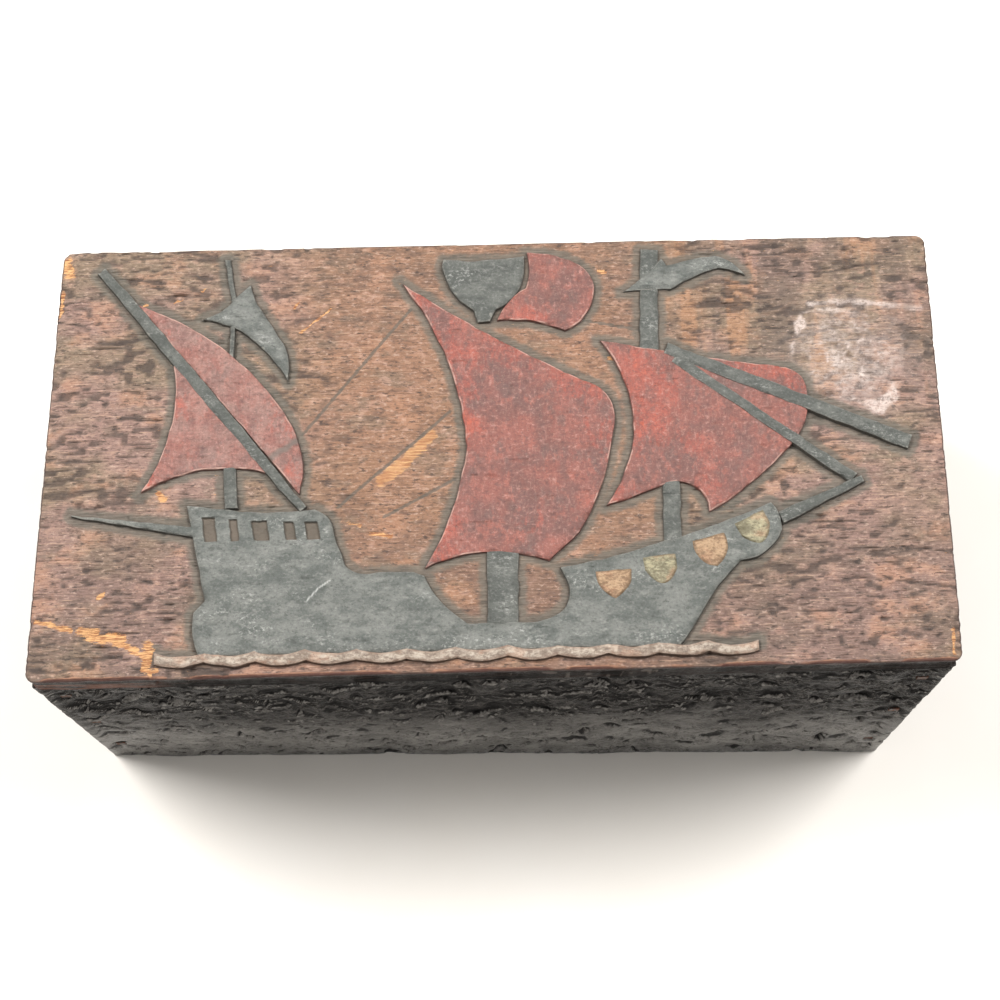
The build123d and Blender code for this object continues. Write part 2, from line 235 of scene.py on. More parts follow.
def smooth_step(value, low, high):
    """0 below low, 1 above high, and smooth between."""
    part = np.clip((value - low) / (high - low), 0, 1)
    return part**2 * (3 - 2 * part)


def mode(name):
    """Goes into edit mode or object mode."""
    bpy.ops.object.mode_set(mode=name)


def select_only(piece):
    """Makes one object the selected and the active one."""
    bpy.ops.object.select_all(action="DESELECT")
    piece.select_set(True)
    bpy.context.view_layer.objects.active = piece


def read_points(piece):
    """The points of an object's mesh, one to a row."""
    place = np.zeros(len(piece.data.vertices) * 3)
    piece.data.vertices.foreach_get("co", place)
    return place.reshape(-1, 3)


def set_points(piece, place, smooth_angle=50):
    """Gives the mesh its points, in millimetres, turns its faces outwards and smooths them."""
    piece.data.vertices.foreach_set("co", (place * MM).ravel())
    piece.data.update()
    select_only(piece)
    mode("EDIT")
    bpy.ops.mesh.select_all(action="SELECT")
    bpy.ops.mesh.normals_make_consistent(inside=False)
    mode("OBJECT")
    bpy.ops.object.shade_smooth_by_angle(angle=radians(smooth_angle))


def slab(name, size, pitch, arris, arris_steps=4, wall_steps=5, corner=0.0, rise=None):
    """A board of size = (length, height, thickness) millimetres that lies on its back: a fine grid
    for its outer face at z = 0, the arris rolled over round it, and walls down to one flat inner
    face. The grid's pitch along the board can differ from the one across it, its rise."""
    length, height, thickness = size
    bpy.ops.object.select_all(action="DESELECT")
    inner_length, inner_height = length - 2 * arris, height - 2 * arris
    columns, rows = round(inner_length / pitch), round(inner_height / (rise or pitch))
    bpy.ops.mesh.primitive_grid_add(x_subdivisions=columns, y_subdivisions=rows, size=1)
    board = bpy.context.object
    board.name = board.data.name = name
    face_count = len(board.data.vertices)
    mode("EDIT")
    bpy.ops.mesh.select_all(action="SELECT")
    bpy.ops.transform.resize(value=(inner_length, inner_height, 1))
    bpy.ops.mesh.region_to_loop()
    for _ in range(arris_steps + wall_steps):
        bpy.ops.mesh.extrude_edges_move()
    bpy.ops.mesh.edge_face_add()
    mode("OBJECT")
    place = read_points(board)
    loop_length = 2 * (columns + rows)
    side_x = np.where(np.abs(place[:, 0]) > inner_length / 2 - 1e-4, np.sign(place[:, 0]), 0)
    side_y = np.where(np.abs(place[:, 1]) > inner_height / 2 - 1e-4, np.sign(place[:, 1]), 0)
    for ring in range(arris_steps + wall_steps):
        loop = slice(face_count + ring * loop_length, face_count + (ring + 1) * loop_length)
        turn = min((ring + 1) / arris_steps, 1) * pi / 2
        drop = max(ring + 1 - arris_steps, 0) / wall_steps * (thickness - arris)
        place[loop, 0] += side_x[loop] * arris * sin(turn)
        place[loop, 1] += side_y[loop] * arris * sin(turn)
        place[loop, 2] = -arris * (1 - cos(turn)) - drop
    if corner:
        out_x = np.abs(place[:, 0]) - (length / 2 - corner)
        out_y = np.abs(place[:, 1]) - (height / 2 - corner)
        near = (out_x > 0) & (out_y > 0)
        squeeze = np.ones(len(place))
        squeeze[near] = np.maximum(out_x, out_y)[near] / np.hypot(out_x, out_y)[near]
        place[near, 0] = np.sign(place[near, 0]) * (length / 2 - corner + (out_x * squeeze)[near])
        place[near, 1] = np.sign(place[near, 1]) * (height / 2 - corner + (out_y * squeeze)[near])
    return board, place


def lean(y):
    """How far the leaning plan of the box shifts a point at y to the right."""
    return PLAN_SKEW * y / BOX_DEPTH


def axes(paint):
    """The three object coordinates of a paint."""
    return [Wire(socket) for socket in node(paint.tree, "SeparateXYZ", Vector=paint.place).outputs]


def bare_wood(name, grain_size, tone_light, tone_dark):
    """Unpainted wood with its grain lines and grey handling marks. Where the ends cover the front
    and the back board it is stained, so that no pale line shows in the joint."""
    wood = Paint(name)
    lines = wood.noise(grain_size, 6.0, 0.65)
    broad = wood.noise([size * 6 for size in grain_size], 2.0)
    grain = mask(lines * 0.75 + broad * 0.35, 0.35, 0.75)
    wood.colour = coat(grain, tone_dark, tone_light)
    wood.lay(mask(wood.noise((22, 22, 22), 5.0, 0.6), 0.45, 0.75) * 0.45, (92, 74, 60))
    x, y, z = axes(wood)
    covered = mask(abs(x - y * (PLAN_SKEW / BOX_DEPTH)), *COVERED_X) * mask(abs(y), *COVERED_Y)
    wood.lay(covered * mask(z, *COVERED_Z), (24, 19, 17))
    return wood.finish((lines, 0.0004, 0.7), Roughness=0.9 - grain * 0.25)


inner_wood = bare_wood("bare_wood_along", (26, 1.1, 1.1), (176, 138, 98), (112, 80, 54))
inner_wood_ends = bare_wood("bare_wood_across", (1.1, 26, 1.1), (170, 132, 94), (108, 77, 52))

inner_size = (BOX_WIDTH - 2 * WALL, BOX_DEPTH - 2 * WALL, FLOOR_BOARD)
bottom, place = slab("bottom_board_sawn", inner_size, 1.6, 0.5, 2, 3)
saw_marks = 0.12 * np.sin(place[:, 0] * 1.9 + 2.5 * rough(place[:, 0] / 30, place[:, 1] / 20, 3))
saw_marks += 0.1 * rough(place[:, 0] / 7, place[:, 1] / 1.5, 4)
place[:, 2] -= np.where(place[:, 2] > -0.2, 0.23 + saw_marks, 0)
place[:, 1:] *= -1
place[:, 0] += lean(place[:, 1])
set_points(bottom, place)
bottom.data.materials.append(inner_wood)
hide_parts("bottom_board")
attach(bottom, "box")

# ---- The four walls ----
# Boards whose outer faces were left as hewn and pecked, then stained almost black and
# varnished, so that ridges shine. Inside they are planed and bare. The front is set in wind.
FRONT_WIND = 2.5
NAIL_HEAD, NAIL_SUNK = 3.4, 1.7
WALL_NAIL_STEP, FLOOR_NAIL_STEP = 38.0, 36.0
LIP_ABOVE, FOOT_BENEATH = 0.8, 1.5  # how far from a point its ledge is looked for


def neighbours(x, y, wide, high):
    """The cells, that wide and high, in which points lie, then those round them, nine in all."""
    cell_x, cell_y = np.floor(x / wide), np.floor(y / high)
    for shift_x in (-1, 0, 1):
        for shift_y in (-1, 0, 1):
            yield cell_x + shift_x, cell_y + shift_y


def scatter(x, y, spacing, radius, seed, keep=1.0):
    """Depth, 0 to 1, of round pits set at random about one to each square of that spacing."""
    depth = np.zeros(len(x))
    for home_x, home_y in neighbours(x, y, spacing, spacing):
        off_x, off_y, swell, chance = [rough(home_x, home_y, seed + k) for k in range(4)]
        pit_x = (home_x + 0.5 + 0.45 * off_x) * spacing
        pit_y = (home_y + 0.5 + 0.45 * off_y) * spacing
        away = np.hypot(x - pit_x, y - pit_y) / (radius * (0.65 + 0.35 * swell))
        pit = np.where(chance < 2 * keep - 1, np.clip(1 - away**2, 0, 1), 0)
        depth = np.maximum(depth, pit)
    return depth


def torn(x, y, width, length, seed):
    """Depth, 0 to 1, of chips struck downwards: each deepens to a ledge at its foot."""
    depth = np.zeros(len(x))
    for home_x, home_y in neighbours(x, y, width, length):
        off_x, off_y, swell, tilt, force = [rough(home_x, home_y, seed + k) for k in range(5)]
        foot_x = (home_x + 0.5 + 0.5 * off_x) * width
        foot_y = (home_y + 0.3 + 0.5 * off_y) * length
        size = 0.8 + 0.3 * swell
        side = (x - foot_x - 0.4 * (y - foot_y) * tilt) / (0.6 * width * size)
        height = y - foot_y - 0.35 * length * size * side**2
        rise = height / (1.1 * length * size)
        struck = np.clip(1 - side**2, 0, 1) * np.clip(1 - rise, 0, 1)
        struck *= smooth_step(height, -0.6, 1.0)
        depth = np.maximum(depth, struck * (0.7 + 0.4 * force))
    return depth


def hewn(across, up, seed, torn_part, pitted):
    """Depth cut into a hewn face, in millimetres: layers of fibre torn off along the grain,
    chips in three sizes, then pits."""
    bent_x = across + 2.8 * rough(across / 9, up / 7, seed)
    bent_x += rough(across / 3, up / 3, seed + 1)
    bent_y = up + 3.4 * rough(across / 6, up / 9, seed + 2)
    bent_y += 1.3 * rough(across / 2.6, up / 4, seed + 3)
    layer = 1.7 * rough(bent_x / 16, bent_y / 7, seed + 50)
    layer += 0.5 * rough(bent_x / 5, bent_y / 2.5, seed + 51)
    terraced = np.floor(layer) + smooth_step(layer - np.floor(layer), 0.32, 0.68)
    cut = 0.6 * np.clip(terraced + 1, 0, 3)
    chip_sizes = ((1.7, 9.5, 10.5, 4), (1.0, 4.6, 5.6, 30), (0.4, 2.3, 3.0, 40))
    for deep, width, length, chips_seed in chip_sizes:
        cut += deep * torn(bent_x, bent_y, width, length, seed + chips_seed)
    cut *= torn_part
    cut += 0.35 * (0.5 + 0.5 * rough(across / 16, up / 12, seed + 7))
    cut += 0.10 * (0.5 + 0.5 * rough(across / 1.5, up / 1.2, seed + 8))
    cut += pitted * 2.8 * scatter(bent_x, bent_y * 0.7, 9.5, 2.5, seed + 9, 0.6)
    cut += pitted * 0.7 * scatter(bent_x, bent_y, 4.6, 1.2, seed + 20, 0.4)
    return np.clip(cut, 0, 3.6)


def hewn_thrice(across, up, seed, torn_part, pitted, strength=1.0):
    """The hewn depth at each point, just above it and just beneath it."""
    heights = (up, up + LIP_ABOVE, up - FOOT_BENEATH)
    return [strength * hewn(across, height, seed, torn_part, pitted) for height in heights]


def settle(cut, across, up, inward, nails, rim, rim_part):
    """Deepens the cut to the nail heads, in square holes, and eases it at the rim and inwards."""
    for nail_x, nail_y in nails:
        hole = np.maximum(np.abs(across - nail_x), np.abs(up - nail_y)) < NAIL_HEAD / 2
        cut = np.where(hole, NAIL_SUNK, cut)
    cut = cut * np.clip(1 - inward / 4, 0, 1)
    return cut * (rim_part + (1 - rim_part) * smooth_step(rim, 0, 2.5))


# Shared by the stained and painted surfaces: ridges rubbed pale, partly a painted highlight, and hollows
# darker
wear = bpy.data.node_groups.new("rubbed_ridges", "ShaderNodeTree")
wear.interface.new_socket("Place", in_out="INPUT", socket_type="NodeSocketVector")
for socket_name, preset in (("Rubbed Above", 0.54), ("Dirty Below", 0.46)):
    socket = wear.interface.new_socket(socket_name, in_out="INPUT", socket_type="NodeSocketFloat")
    socket.default_value = preset
for socket_name in ("Rubbed", "Dirty", "Speckle"):
    wear.interface.new_socket(socket_name, in_out="OUTPUT", socket_type="NodeSocketFloat")
wear_in = wear.nodes.new("NodeGroupInput")
wear_place, rubbed_above, dirty_below = [Wire(socket) for socket in wear_in.outputs[:3]]
speckle_fine = stretched(wear_place, (0.9, 0.9, 0.9), 4.0, 0.7)
speckle_broad = stretched(wear_place, (6, 6, 6), 3.0, 0.6)
pointed = Wire(node(wear, "NewGeometry").outputs["Pointiness"]) + (speckle_fine - 0.5) * 0.06
wear_out = wear.nodes.new("NodeGroupOutput")
feed(wear_out.inputs["Rubbed"], mask(pointed - rubbed_above, 0.0, 0.05))
feed(wear_out.inputs["Dirty"], mask(dirty_below - pointed, 0.0, 0.06))
feed(wear_out.inputs["Speckle"], mask(speckle_fine * 0.6 + speckle_broad * 0.5, 0.42, 0.72))


def wear_of(paint, above, below):
    """Where ridges are rubbed pale, partly a painted highlight, where hollows are darker, and speckle, 0
    to 1.
    """
    preset = {"Place": paint.place, "Rubbed_Above": above, "Dirty_Below": below}
    made = node(paint.tree, "Group", {"node_tree": wear}, **preset)
    return [Wire(socket) for socket in made.outputs]


def kept(paint, name):
    """A number kept on the mesh."""
    return Wire(node(paint.tree, "Attribute", {"attribute_name": name}).outputs["Fac"])


def ragged(value, noise, strength):
    """A value with noise added either way."""
    return value + (noise - 0.5) * strength


def frayed(paint, name, noise, strength, low, high):
    """How far a number kept on the mesh, made ragged by noise, has come from low to high."""
    return mask(ragged(kept(paint, name), noise, strength), low, high)


def black_stain(name, grain_size, table_reflection_height, ledge_highlight):
    """Near-black stain, old varnish; painted table reflection at the foot, painted highlights and shade.
    """
    stain = Paint(name)
    rubbed_and_highlit, _, speckle = wear_of(stain, 0.55, 0.47)
    crumbs = stain.noise((1.3, 1.3, 1.0), 5.0, 0.7)
    grain = mask(stain.noise(grain_size, 5.0, 0.6), 0.35, 0.65)
    stain.colour = coat(grain, (7, 6, 6), (24, 20, 19))
    # Painted reflection: the outer face is greyed towards its foot, where the varnish would mirror the
    # table.
    height = axes(stain)[2] + stain.noise((45, 45, 30), 4.0, 0.6) * 0.05
    outer = kept(stain, "outer")
    foot = mask(height - table_reflection_height, 0.026, -0.026) * outer
    patchy = mask(stain.noise((14, 14, 12), 4.0, 0.6), 0.36, 0.62)
    stain.lay(foot * (0.30 + speckle * 0.45) + foot * patchy * 0.22, (174, 171, 166))
    # Painted shadow and highlight: a thin dark line along each crease, with a pale lip just beside it.
    creased = stain.noise((6, 6, 2.2), 6.0, 0.65, (0.3, 0.1, 0.2))
    stain.lay(mask(abs(creased - 0.5), 0.022, 0.004) * outer * 0.75, (14, 12, 12))
    lip = mask(abs(creased - 0.53), 0.020, 0.004) * outer
    stain.lay(lip * (0.75 * ledge_highlight - foot * (0.37 * ledge_highlight)), (136, 131, 126))
    spots = mask(stain.noise((2.6, 2.6, 4.0), 5.0, 0.7, (0.5, 0.1, 0.3)), 0.58, 0.66)
    stain.lay(spots * outer * 0.75, (20, 18, 18))
    # Painted shade in the hollows and just above each ledge.
    stain.lay(frayed(stain, "hollow", crumbs, 0.6, 0.2, 0.8) * 0.9, (12, 10, 10))
    # Painted highlight: the lips of the ledges are laid pale, as if lit from above.
    ledge = frayed(stain, "ledge", crumbs, 0.8, 0.35, 0.85)
    ledge = ledge * (0.35 + mask(crumbs, 0.42, 0.58) * 0.65)
    stain.lay(ledge * ledge_highlight, (158, 153, 147))
    # Ridges rubbed pale, partly a painted highlight.
    stain.lay(rubbed_and_highlit * 0.3, (116, 111, 107))
    shine = 0.07 + (foot * 0.22 + ledge * 0.3)
    fine = stain.noise((1.6, 0.7, 0.7), 6.0, 0.65)
    gloss = 0.30 + speckle * 0.25
    return stain.finish((fine, 0.0005, 0.8), Roughness=gloss, Specular_IOR_Level=shine)


hewn_black = black_stain("hewn_black_stain", (14, 3, 3), 0.066, 0.8)
hewn_black_sides = black_stain("hewn_black_stain_sides", (3, 14, 3), 0.02, 0.12)


def mark(board, **numbers):
    """Keeps numbers on the mesh, one a point, for its material to read."""
    for name, values in numbers.items():
        kept_values = board.data.attributes.new(name, "FLOAT", "POINT").data
        kept_values.foreach_set("value", values.astype(np.float32))


def mark_hewn(board, face, cut, above, beneath):
    """Tells the stain where a ledge has its lip, the cut being deeper just above it, to paint a
    highlight there, and
    where the face is hollow: deep, or deeper than just beneath, to paint shade there. The face is 1 on
    the outer side only."""
    hollow = np.clip(smooth_step(cut, 1.3, 2.8) + smooth_step(cut - beneath, 0.2, 0.8), 0, 1)
    mark(board, outer=face, ledge=face * smooth_step(above - cut, 0.25, 0.8), hollow=face * hollow)


def two_faces(board, outside, inside, is_inside):
    """Gives a board its outer finish, and bare wood on the faces that is_inside picks."""
    board.data.materials.append(outside)
    board.data.materials.append(inside)
    for face in board.data.polygons:
        face.material_index = 1 if is_inside(face) else 0


nail_x = HALF_WIDTH - WALL / 2
nail_heights = [BODY_HEIGHT / 2 + step for step in (-WALL_NAIL_STEP, 0.0, WALL_NAIL_STEP)]
wall_nails = [(side * nail_x, height) for side in (-1, 1) for height in nail_heights]

# Front: length along x, height along z, outer face towards -y, hewn in facets about 16 mm wide
FACET_COLUMNS, FACET_ROWS, FACET_MARGIN = 16, 7, 5.0
FACET_END, FACET_SHALLOW, FACET_DEEP = 0.5, 0.7, 2.2


def facet_depth(column, row):
    """How far a facet's corner lies below the front's plane."""
    if column in (0, FACET_COLUMNS):
        return FACET_END
    depth = 0.5 + 0.5 * sin(2.4 * column + 4.1 * row + 1.3 * column * row)
    if row in (0, FACET_ROWS):
        return 0.5 * depth
    return (FACET_SHALLOW if column in (1, FACET_COLUMNS - 1) else FACET_DEEP) * depth


front, place = slab("front_board_hewn", (BOX_WIDTH, BODY_HEIGHT, WALL), 0.5, 0.5, 2, 4, rise=0.66)
across, up, inward = place[:, 0], place[:, 1] + BODY_HEIGHT / 2, -place[:, 2]
flat_part = 1 - smooth_step(up + 14 * rough(across / 40, up / 30, 31), 25, 75)
hewn_cuts = hewn_thrice(across, up, 40, 1.0 - 0.42 * flat_part, 0.2 + 0.8 * flat_part)
end_gap = HALF_WIDTH - np.abs(across)
cut = hewn_cuts[0] * (0.2 + 0.8 * smooth_step(end_gap + 1.2 * rough(up / 5, 0 * up, 32), 0.6, 4.5))
cut = settle(cut, across, up, inward, wall_nails, np.minimum(up, BODY_HEIGHT - up), 0.25)
outer_x = HALF_WIDTH - FACET_MARGIN
inner_lines = np.linspace(-outer_x, outer_x, FACET_COLUMNS - 1)
facet_lines = np.array([-HALF_WIDTH, *inner_lines, HALF_WIDTH])
facet_x = np.interp(across, facet_lines, np.arange(FACET_COLUMNS + 1))
facet_z = up / BODY_HEIGHT * FACET_ROWS
column = np.minimum(facet_x.astype(int), FACET_COLUMNS - 1)
row = np.minimum(facet_z.astype(int), FACET_ROWS - 1)
part_x, part_z = facet_x - column, facet_z - row
facet_rows, facet_columns = range(FACET_ROWS + 1), range(FACET_COLUMNS + 1)
facets = np.array([[facet_depth(i, j) for j in facet_rows] for i in facet_columns])
near_x, near_z = 1 - part_x, 1 - part_z
adzed = facets[column, row] * near_x * near_z + facets[column + 1, row] * part_x * near_z
adzed += facets[column, row + 1] * near_x * part_z + facets[column + 1, row + 1] * part_x * part_z
cut += adzed * np.clip(1 - inward / 6, 0, 1)
face_y = -HALF_DEPTH - FRONT_WIND * (across / HALF_WIDTH) * (1 - up / BODY_HEIGHT)
inner_y = -HALF_DEPTH + WALL
place[:, 1] = face_y + (inward + cut) * (inner_y - face_y) / WALL
place[:, 0] = across + lean(place[:, 1])
place[:, 2] = up
set_points(front, place)
mark_hewn(front, np.clip(1 - inward, 0, 1), *hewn_cuts)
two_faces(front, hewn_black, inner_wood, lambda face: face.normal.y > 0.7)
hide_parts("front_board")
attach(front, "box")

# Back: the same, with its outer face towards +y, and shallow beds for the hinge leaves
HINGE_INSET = 52.0
HINGE_MIDDLES = (HINGE_INSET - HALF_WIDTH, HALF_WIDTH - HINGE_INSET)
HINGE_LENGTH, LEAF_WIDTH, LEAF, LEAF_GAP = 36.0, 9.0, 1.0, 0.3
BED_CLEARANCE = 0.02
back, place = slab("back_board_hewn", (BOX_WIDTH, BODY_HEIGHT, WALL), 0.9, 0.6, 2, 12)
across, up, inward = -place[:, 0], place[:, 1] + BODY_HEIGHT / 2, -place[:, 2]
hewn_cuts = hewn_thrice(across, up, 90, 0.8, 0.4, 0.5)
rim = np.minimum.reduce([up, BODY_HEIGHT - up, HALF_WIDTH - np.abs(across)])
cut = settle(hewn_cuts[0], across, up, inward, wall_nails, rim, 0.2)
for middle in HINGE_MIDDLES:
    cut *= 1 - smooth_step(up, 98, 102) * (1 - smooth_step(np.abs(across - middle), 19, 22))
place[:, 1] = HALF_DEPTH - inward - cut
place[:, 0] = across + lean(place[:, 1])
for middle in HINGE_MIDDLES:
    bed = (np.abs(across - middle) < HINGE_LENGTH / 2) & (inward < LEAF_WIDTH)
    bed_floor = BODY_HEIGHT - LEAF_GAP / 2 - LEAF - BED_CLEARANCE
    up = np.where(bed & (up > BODY_HEIGHT - 1.0), bed_floor, up)
place[:, 2] = up
set_points(back, place)
mark_hewn(back, np.clip(1 - inward, 0, 1) * smooth_step(100 - up, 0, 3), *hewn_cuts)
two_faces(back, hewn_black_sides, inner_wood, lambda face: face.normal.y < -0.7)
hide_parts("back_board")
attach(back, "box")

# Ends: between the front and the back, outer faces towards -x and +x
END_LENGTH = BOX_DEPTH - 2 * WALL
floor_nails = [(along, FLOOR_BOARD / 2) for along in (-FLOOR_NAIL_STEP, 0.0, FLOOR_NAIL_STEP)]
for side, name, node_name, seed in (
    (-1, "left_end_hewn", "left_end_board", 130),
    (1, "right_end_hewn", "right_end_board", 170),
):
    end, place = slab(name, (END_LENGTH, BODY_HEIGHT, WALL), 0.8, 0.3, 1, 4)
    along, up, inward = side * place[:, 0], place[:, 1] + BODY_HEIGHT / 2, -place[:, 2]
    hewn_cuts = hewn_thrice(along, up, seed, 0.85, 0.5, 0.5)
    rim = np.minimum.reduce([up, BODY_HEIGHT - up, END_LENGTH / 2 - np.abs(along)])
    cut = settle(hewn_cuts[0], along, up, inward, floor_nails, rim, 0.2)
    place[:, 0] = side * (HALF_WIDTH - inward - cut) + lean(along)
    place[:, 1] = along
    place[:, 2] = up
    set_points(end, place)
    mark_hewn(end, np.clip(1 - inward, 0, 1), *hewn_cuts)
    two_faces(end, hewn_black_sides, inner_wood_ends, lambda face: face.normal.x * side < -0.7)
    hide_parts(node_name)
    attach(end, "box")

# ---- Nails ----
# Square cut iron nails through the walls and into the bottom board. Their heads lie sunk
# below the faces, brown with rust. They are the CAD's own shapes, given a material.


def refinish(node_names, finish):
    """Gives the frame's own objects a material."""
    for name in node_names:
        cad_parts[name].data.materials.clear()
        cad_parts[name].data.materials.append(finish)


iron = Paint("nail_iron")
rust = mask(iron.noise((1.2, 1.2, 1.2), 5.0, 0.7), 0.4, 0.62)
iron.colour = coat(rust, (58, 52, 48), (104, 62, 40))
rusty = iron.finish((rust, 0.0001, 0.8), Roughness=0.45 + rust * 0.4, Metallic=0.9 - rust * 0.85)
refinish(("front_nails", "back_nails", "bottom_nails"), rusty)

# ---- Hinges ----
# Two cast brass butts sunk in the seam at the back: a leaf on the wall, a leaf on the lid and
# a loose-fitting steel pin through their knuckles. The brass has gone brown, bright on edges.
tarnished = Paint("hinge_brass")
rubbed_and_highlit, darker_in_hollows, _ = wear_of(tarnished, 0.52, 0.47)
tarnish = mask(tarnished.noise((5, 5, 5), 6.0, 0.65), 0.35, 0.7)
tarnished.colour = coat(tarnish, (150, 118, 66), (98, 74, 46))
tarnished.lay(darker_in_hollows * 0.8, (48, 40, 30))
# Edges rubbed bright, partly a painted highlight.
tarnished.lay(rubbed_and_highlit * 0.7, (190, 160, 100))
scratches = (tarnished.noise((8, 0.25, 0.25), 4.0, 0.6), 0.0001, 0.5)
brass = tarnished.finish(scratches, Roughness=0.28 + tarnish * 0.3, Metallic=1.0)

pitted = Paint("pin_steel")
pits = mask(pitted.noise((0.8, 0.8, 0.8), 5.0, 0.7), 0.42, 0.7)
pitted.colour = coat(pits, (150, 146, 140), (86, 66, 52))
steel = pitted.finish(Roughness=0.3 + pits * 0.4, Metallic=1.0)
for side in ("left", "right"):
    refinish((f"hinge_{side}_lid_leaf", f"hinge_{side}_body_leaf"), brass)
    refinish((f"hinge_{side}_pin",), steel)

# ---- Hinge screws ----
# Countersunk brass screws, two to a leaf, with the slot cut across the head by hand, so that
# no two slots stand the same way.
SCREW_HEAD, SCREW_SHANK, SCREW_RIM = 2.0, 1.0, 0.12  # two radii and the thickness of the edge
SCREW_OFFSET = 11.0
SCREW_Y = HALF_DEPTH - LEAF_WIDTH / 2
THREAD_TURNS, THREAD_PITCH = 5, 1.1
SLOT_SIZE = (4.4, 0.55, 0.9)


def draw_on(height, grow=None):
    """Draws the chosen end of the screw on by a height, in millimetres, and scales it."""
    bpy.ops.mesh.extrude_region_move(TRANSFORM_OT_translate={"value": (0, 0, height * MM)})
    if grow:
        bpy.ops.transform.resize(value=grow)


bpy.ops.object.select_all(action="DESELECT")
bpy.ops.mesh.primitive_cylinder_add(vertices=40, radius=SCREW_HEAD * MM, depth=SCREW_RIM * MM)
screw = bpy.context.object
mode("EDIT")
bpy.ops.mesh.select_mode(type="FACE")
bpy.ops.mesh.select_all(action="DESELECT")
mode("OBJECT")
for face in screw.data.polygons:
    face.select = face.normal.z > 0.9
mode("EDIT")
draw_on(SCREW_HEAD - SCREW_SHANK - SCREW_RIM, [SCREW_SHANK / SCREW_HEAD] * 3)
draw_on(0.6)
for _ in range(THREAD_TURNS):
    for grow, rise in ((0.74, 0.25), (1 / 0.74, 0.3), (1.0, 0.08), (0.74, 0.3), (1 / 0.74, 0.17)):
        draw_on(rise * THREAD_PITCH * 0.9, (grow, grow, 1))
draw_on(0.5, (0.2, 0.2, 1))
mode("OBJECT")
bpy.ops.object.select_all(action="DESELECT")
bpy.ops.mesh.primitive_cube_add(size=1, location=(0, 0, 0), scale=[side * MM for side in SLOT_SIZE])
slot_cutter = bpy.context.object
select_only(screw)
cutting = screw.modifiers.new("slot", "BOOLEAN")
cutting.object = slot_cutter
bpy.ops.object.modifier_apply(modifier="slot")
bpy.data.objects.remove(slot_cutter)
screw_data = screw.data
bpy.data.objects.remove(screw)
offsets = (-SCREW_OFFSET, SCREW_OFFSET)
screw_places = [middle + offset for middle in HINGE_MIDDLES for offset in offsets]
for node_name, body, facing, slot_turns in (
    ("lid_hinge_screws", "lid", 1, (17, 102, 64, 141)),
    ("body_hinge_screws", "box", -1, (8, 75, 120, 33)),
):
    for index, (screw_x, slot_turn) in enumerate(zip(screw_places, slot_turns)):
        copied = new_object(f"{node_name[:-1]}_{index + 1}", screw_data.copy())
        flip = Matrix.Rotation(0 if facing > 0 else pi, 4, "X")
        twist = Matrix.Rotation(radians(slot_turn), 4, "Z")
        seat_z = BODY_HEIGHT + facing * (LEAF_GAP / 2 + SCREW_RIM / 2)
        seat = Matrix.Translation((screw_x * MM, SCREW_Y * MM, seat_z * MM))
        copied.data.transform(seat @ flip @ twist)
        copied.data.materials.append(brass)
        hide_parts(node_name)
        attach(copied, body)

# ---- Lid: the drawing of the ship ----
# One board carved in low relief. The carver cut the outlines down into the board and lowered
# the ground round them. Stations are (x, y, bow) in millimetres from the drawing's middle,
# clockwise; the line that leaves a station bows outwards by that much.
GROUND = BODY_HEIGHT + LID_THICKNESS
CARVING_Y = -0.7  # the middle of the drawing, just in front of the middle of the lid


def spar(tip_a, tip_b, width_a, width_b, belly=0.0):
    """Stations round a tapered pole between two points, each side bowed outwards by the belly."""
    run_x, run_y = tip_b[0] - tip_a[0], tip_b[1] - tip_a[1]
    across_x, across_y = -run_y / hypot(run_x, run_y) / 2, run_x / hypot(run_x, run_y) / 2
    return (
        (tip_a[0] - across_x * width_a, tip_a[1] - across_y * width_a, 0),
        (tip_a[0] + across_x * width_a, tip_a[1] + across_y * width_a, belly),
        (tip_b[0] + across_x * width_b, tip_b[1] + across_y * width_b, 0),
        (tip_b[0] - across_x * width_b, tip_b[1] - across_y * width_b, belly),
    )


def shield(middle_x, middle_y, turn, width, height, belly=0.0):
    """Stations round a small shield, straight above and pointed below, or round without a belly."""
    half_span, half_rise = width / 2, height / 2
    left, right = (-half_span, half_rise, 0), (half_span, half_rise, belly)
    foot = ((0, -half_rise, belly),) if belly else ((half_span, 0, half_rise), (-half_span, 0, 0))
    c, s = cos(radians(turn)), sin(radians(turn))
    corners = (left, right, *foot)
    return tuple((middle_x + x * c - y * s, middle_y + x * s + y * c, bow) for x, y, bow in corners)


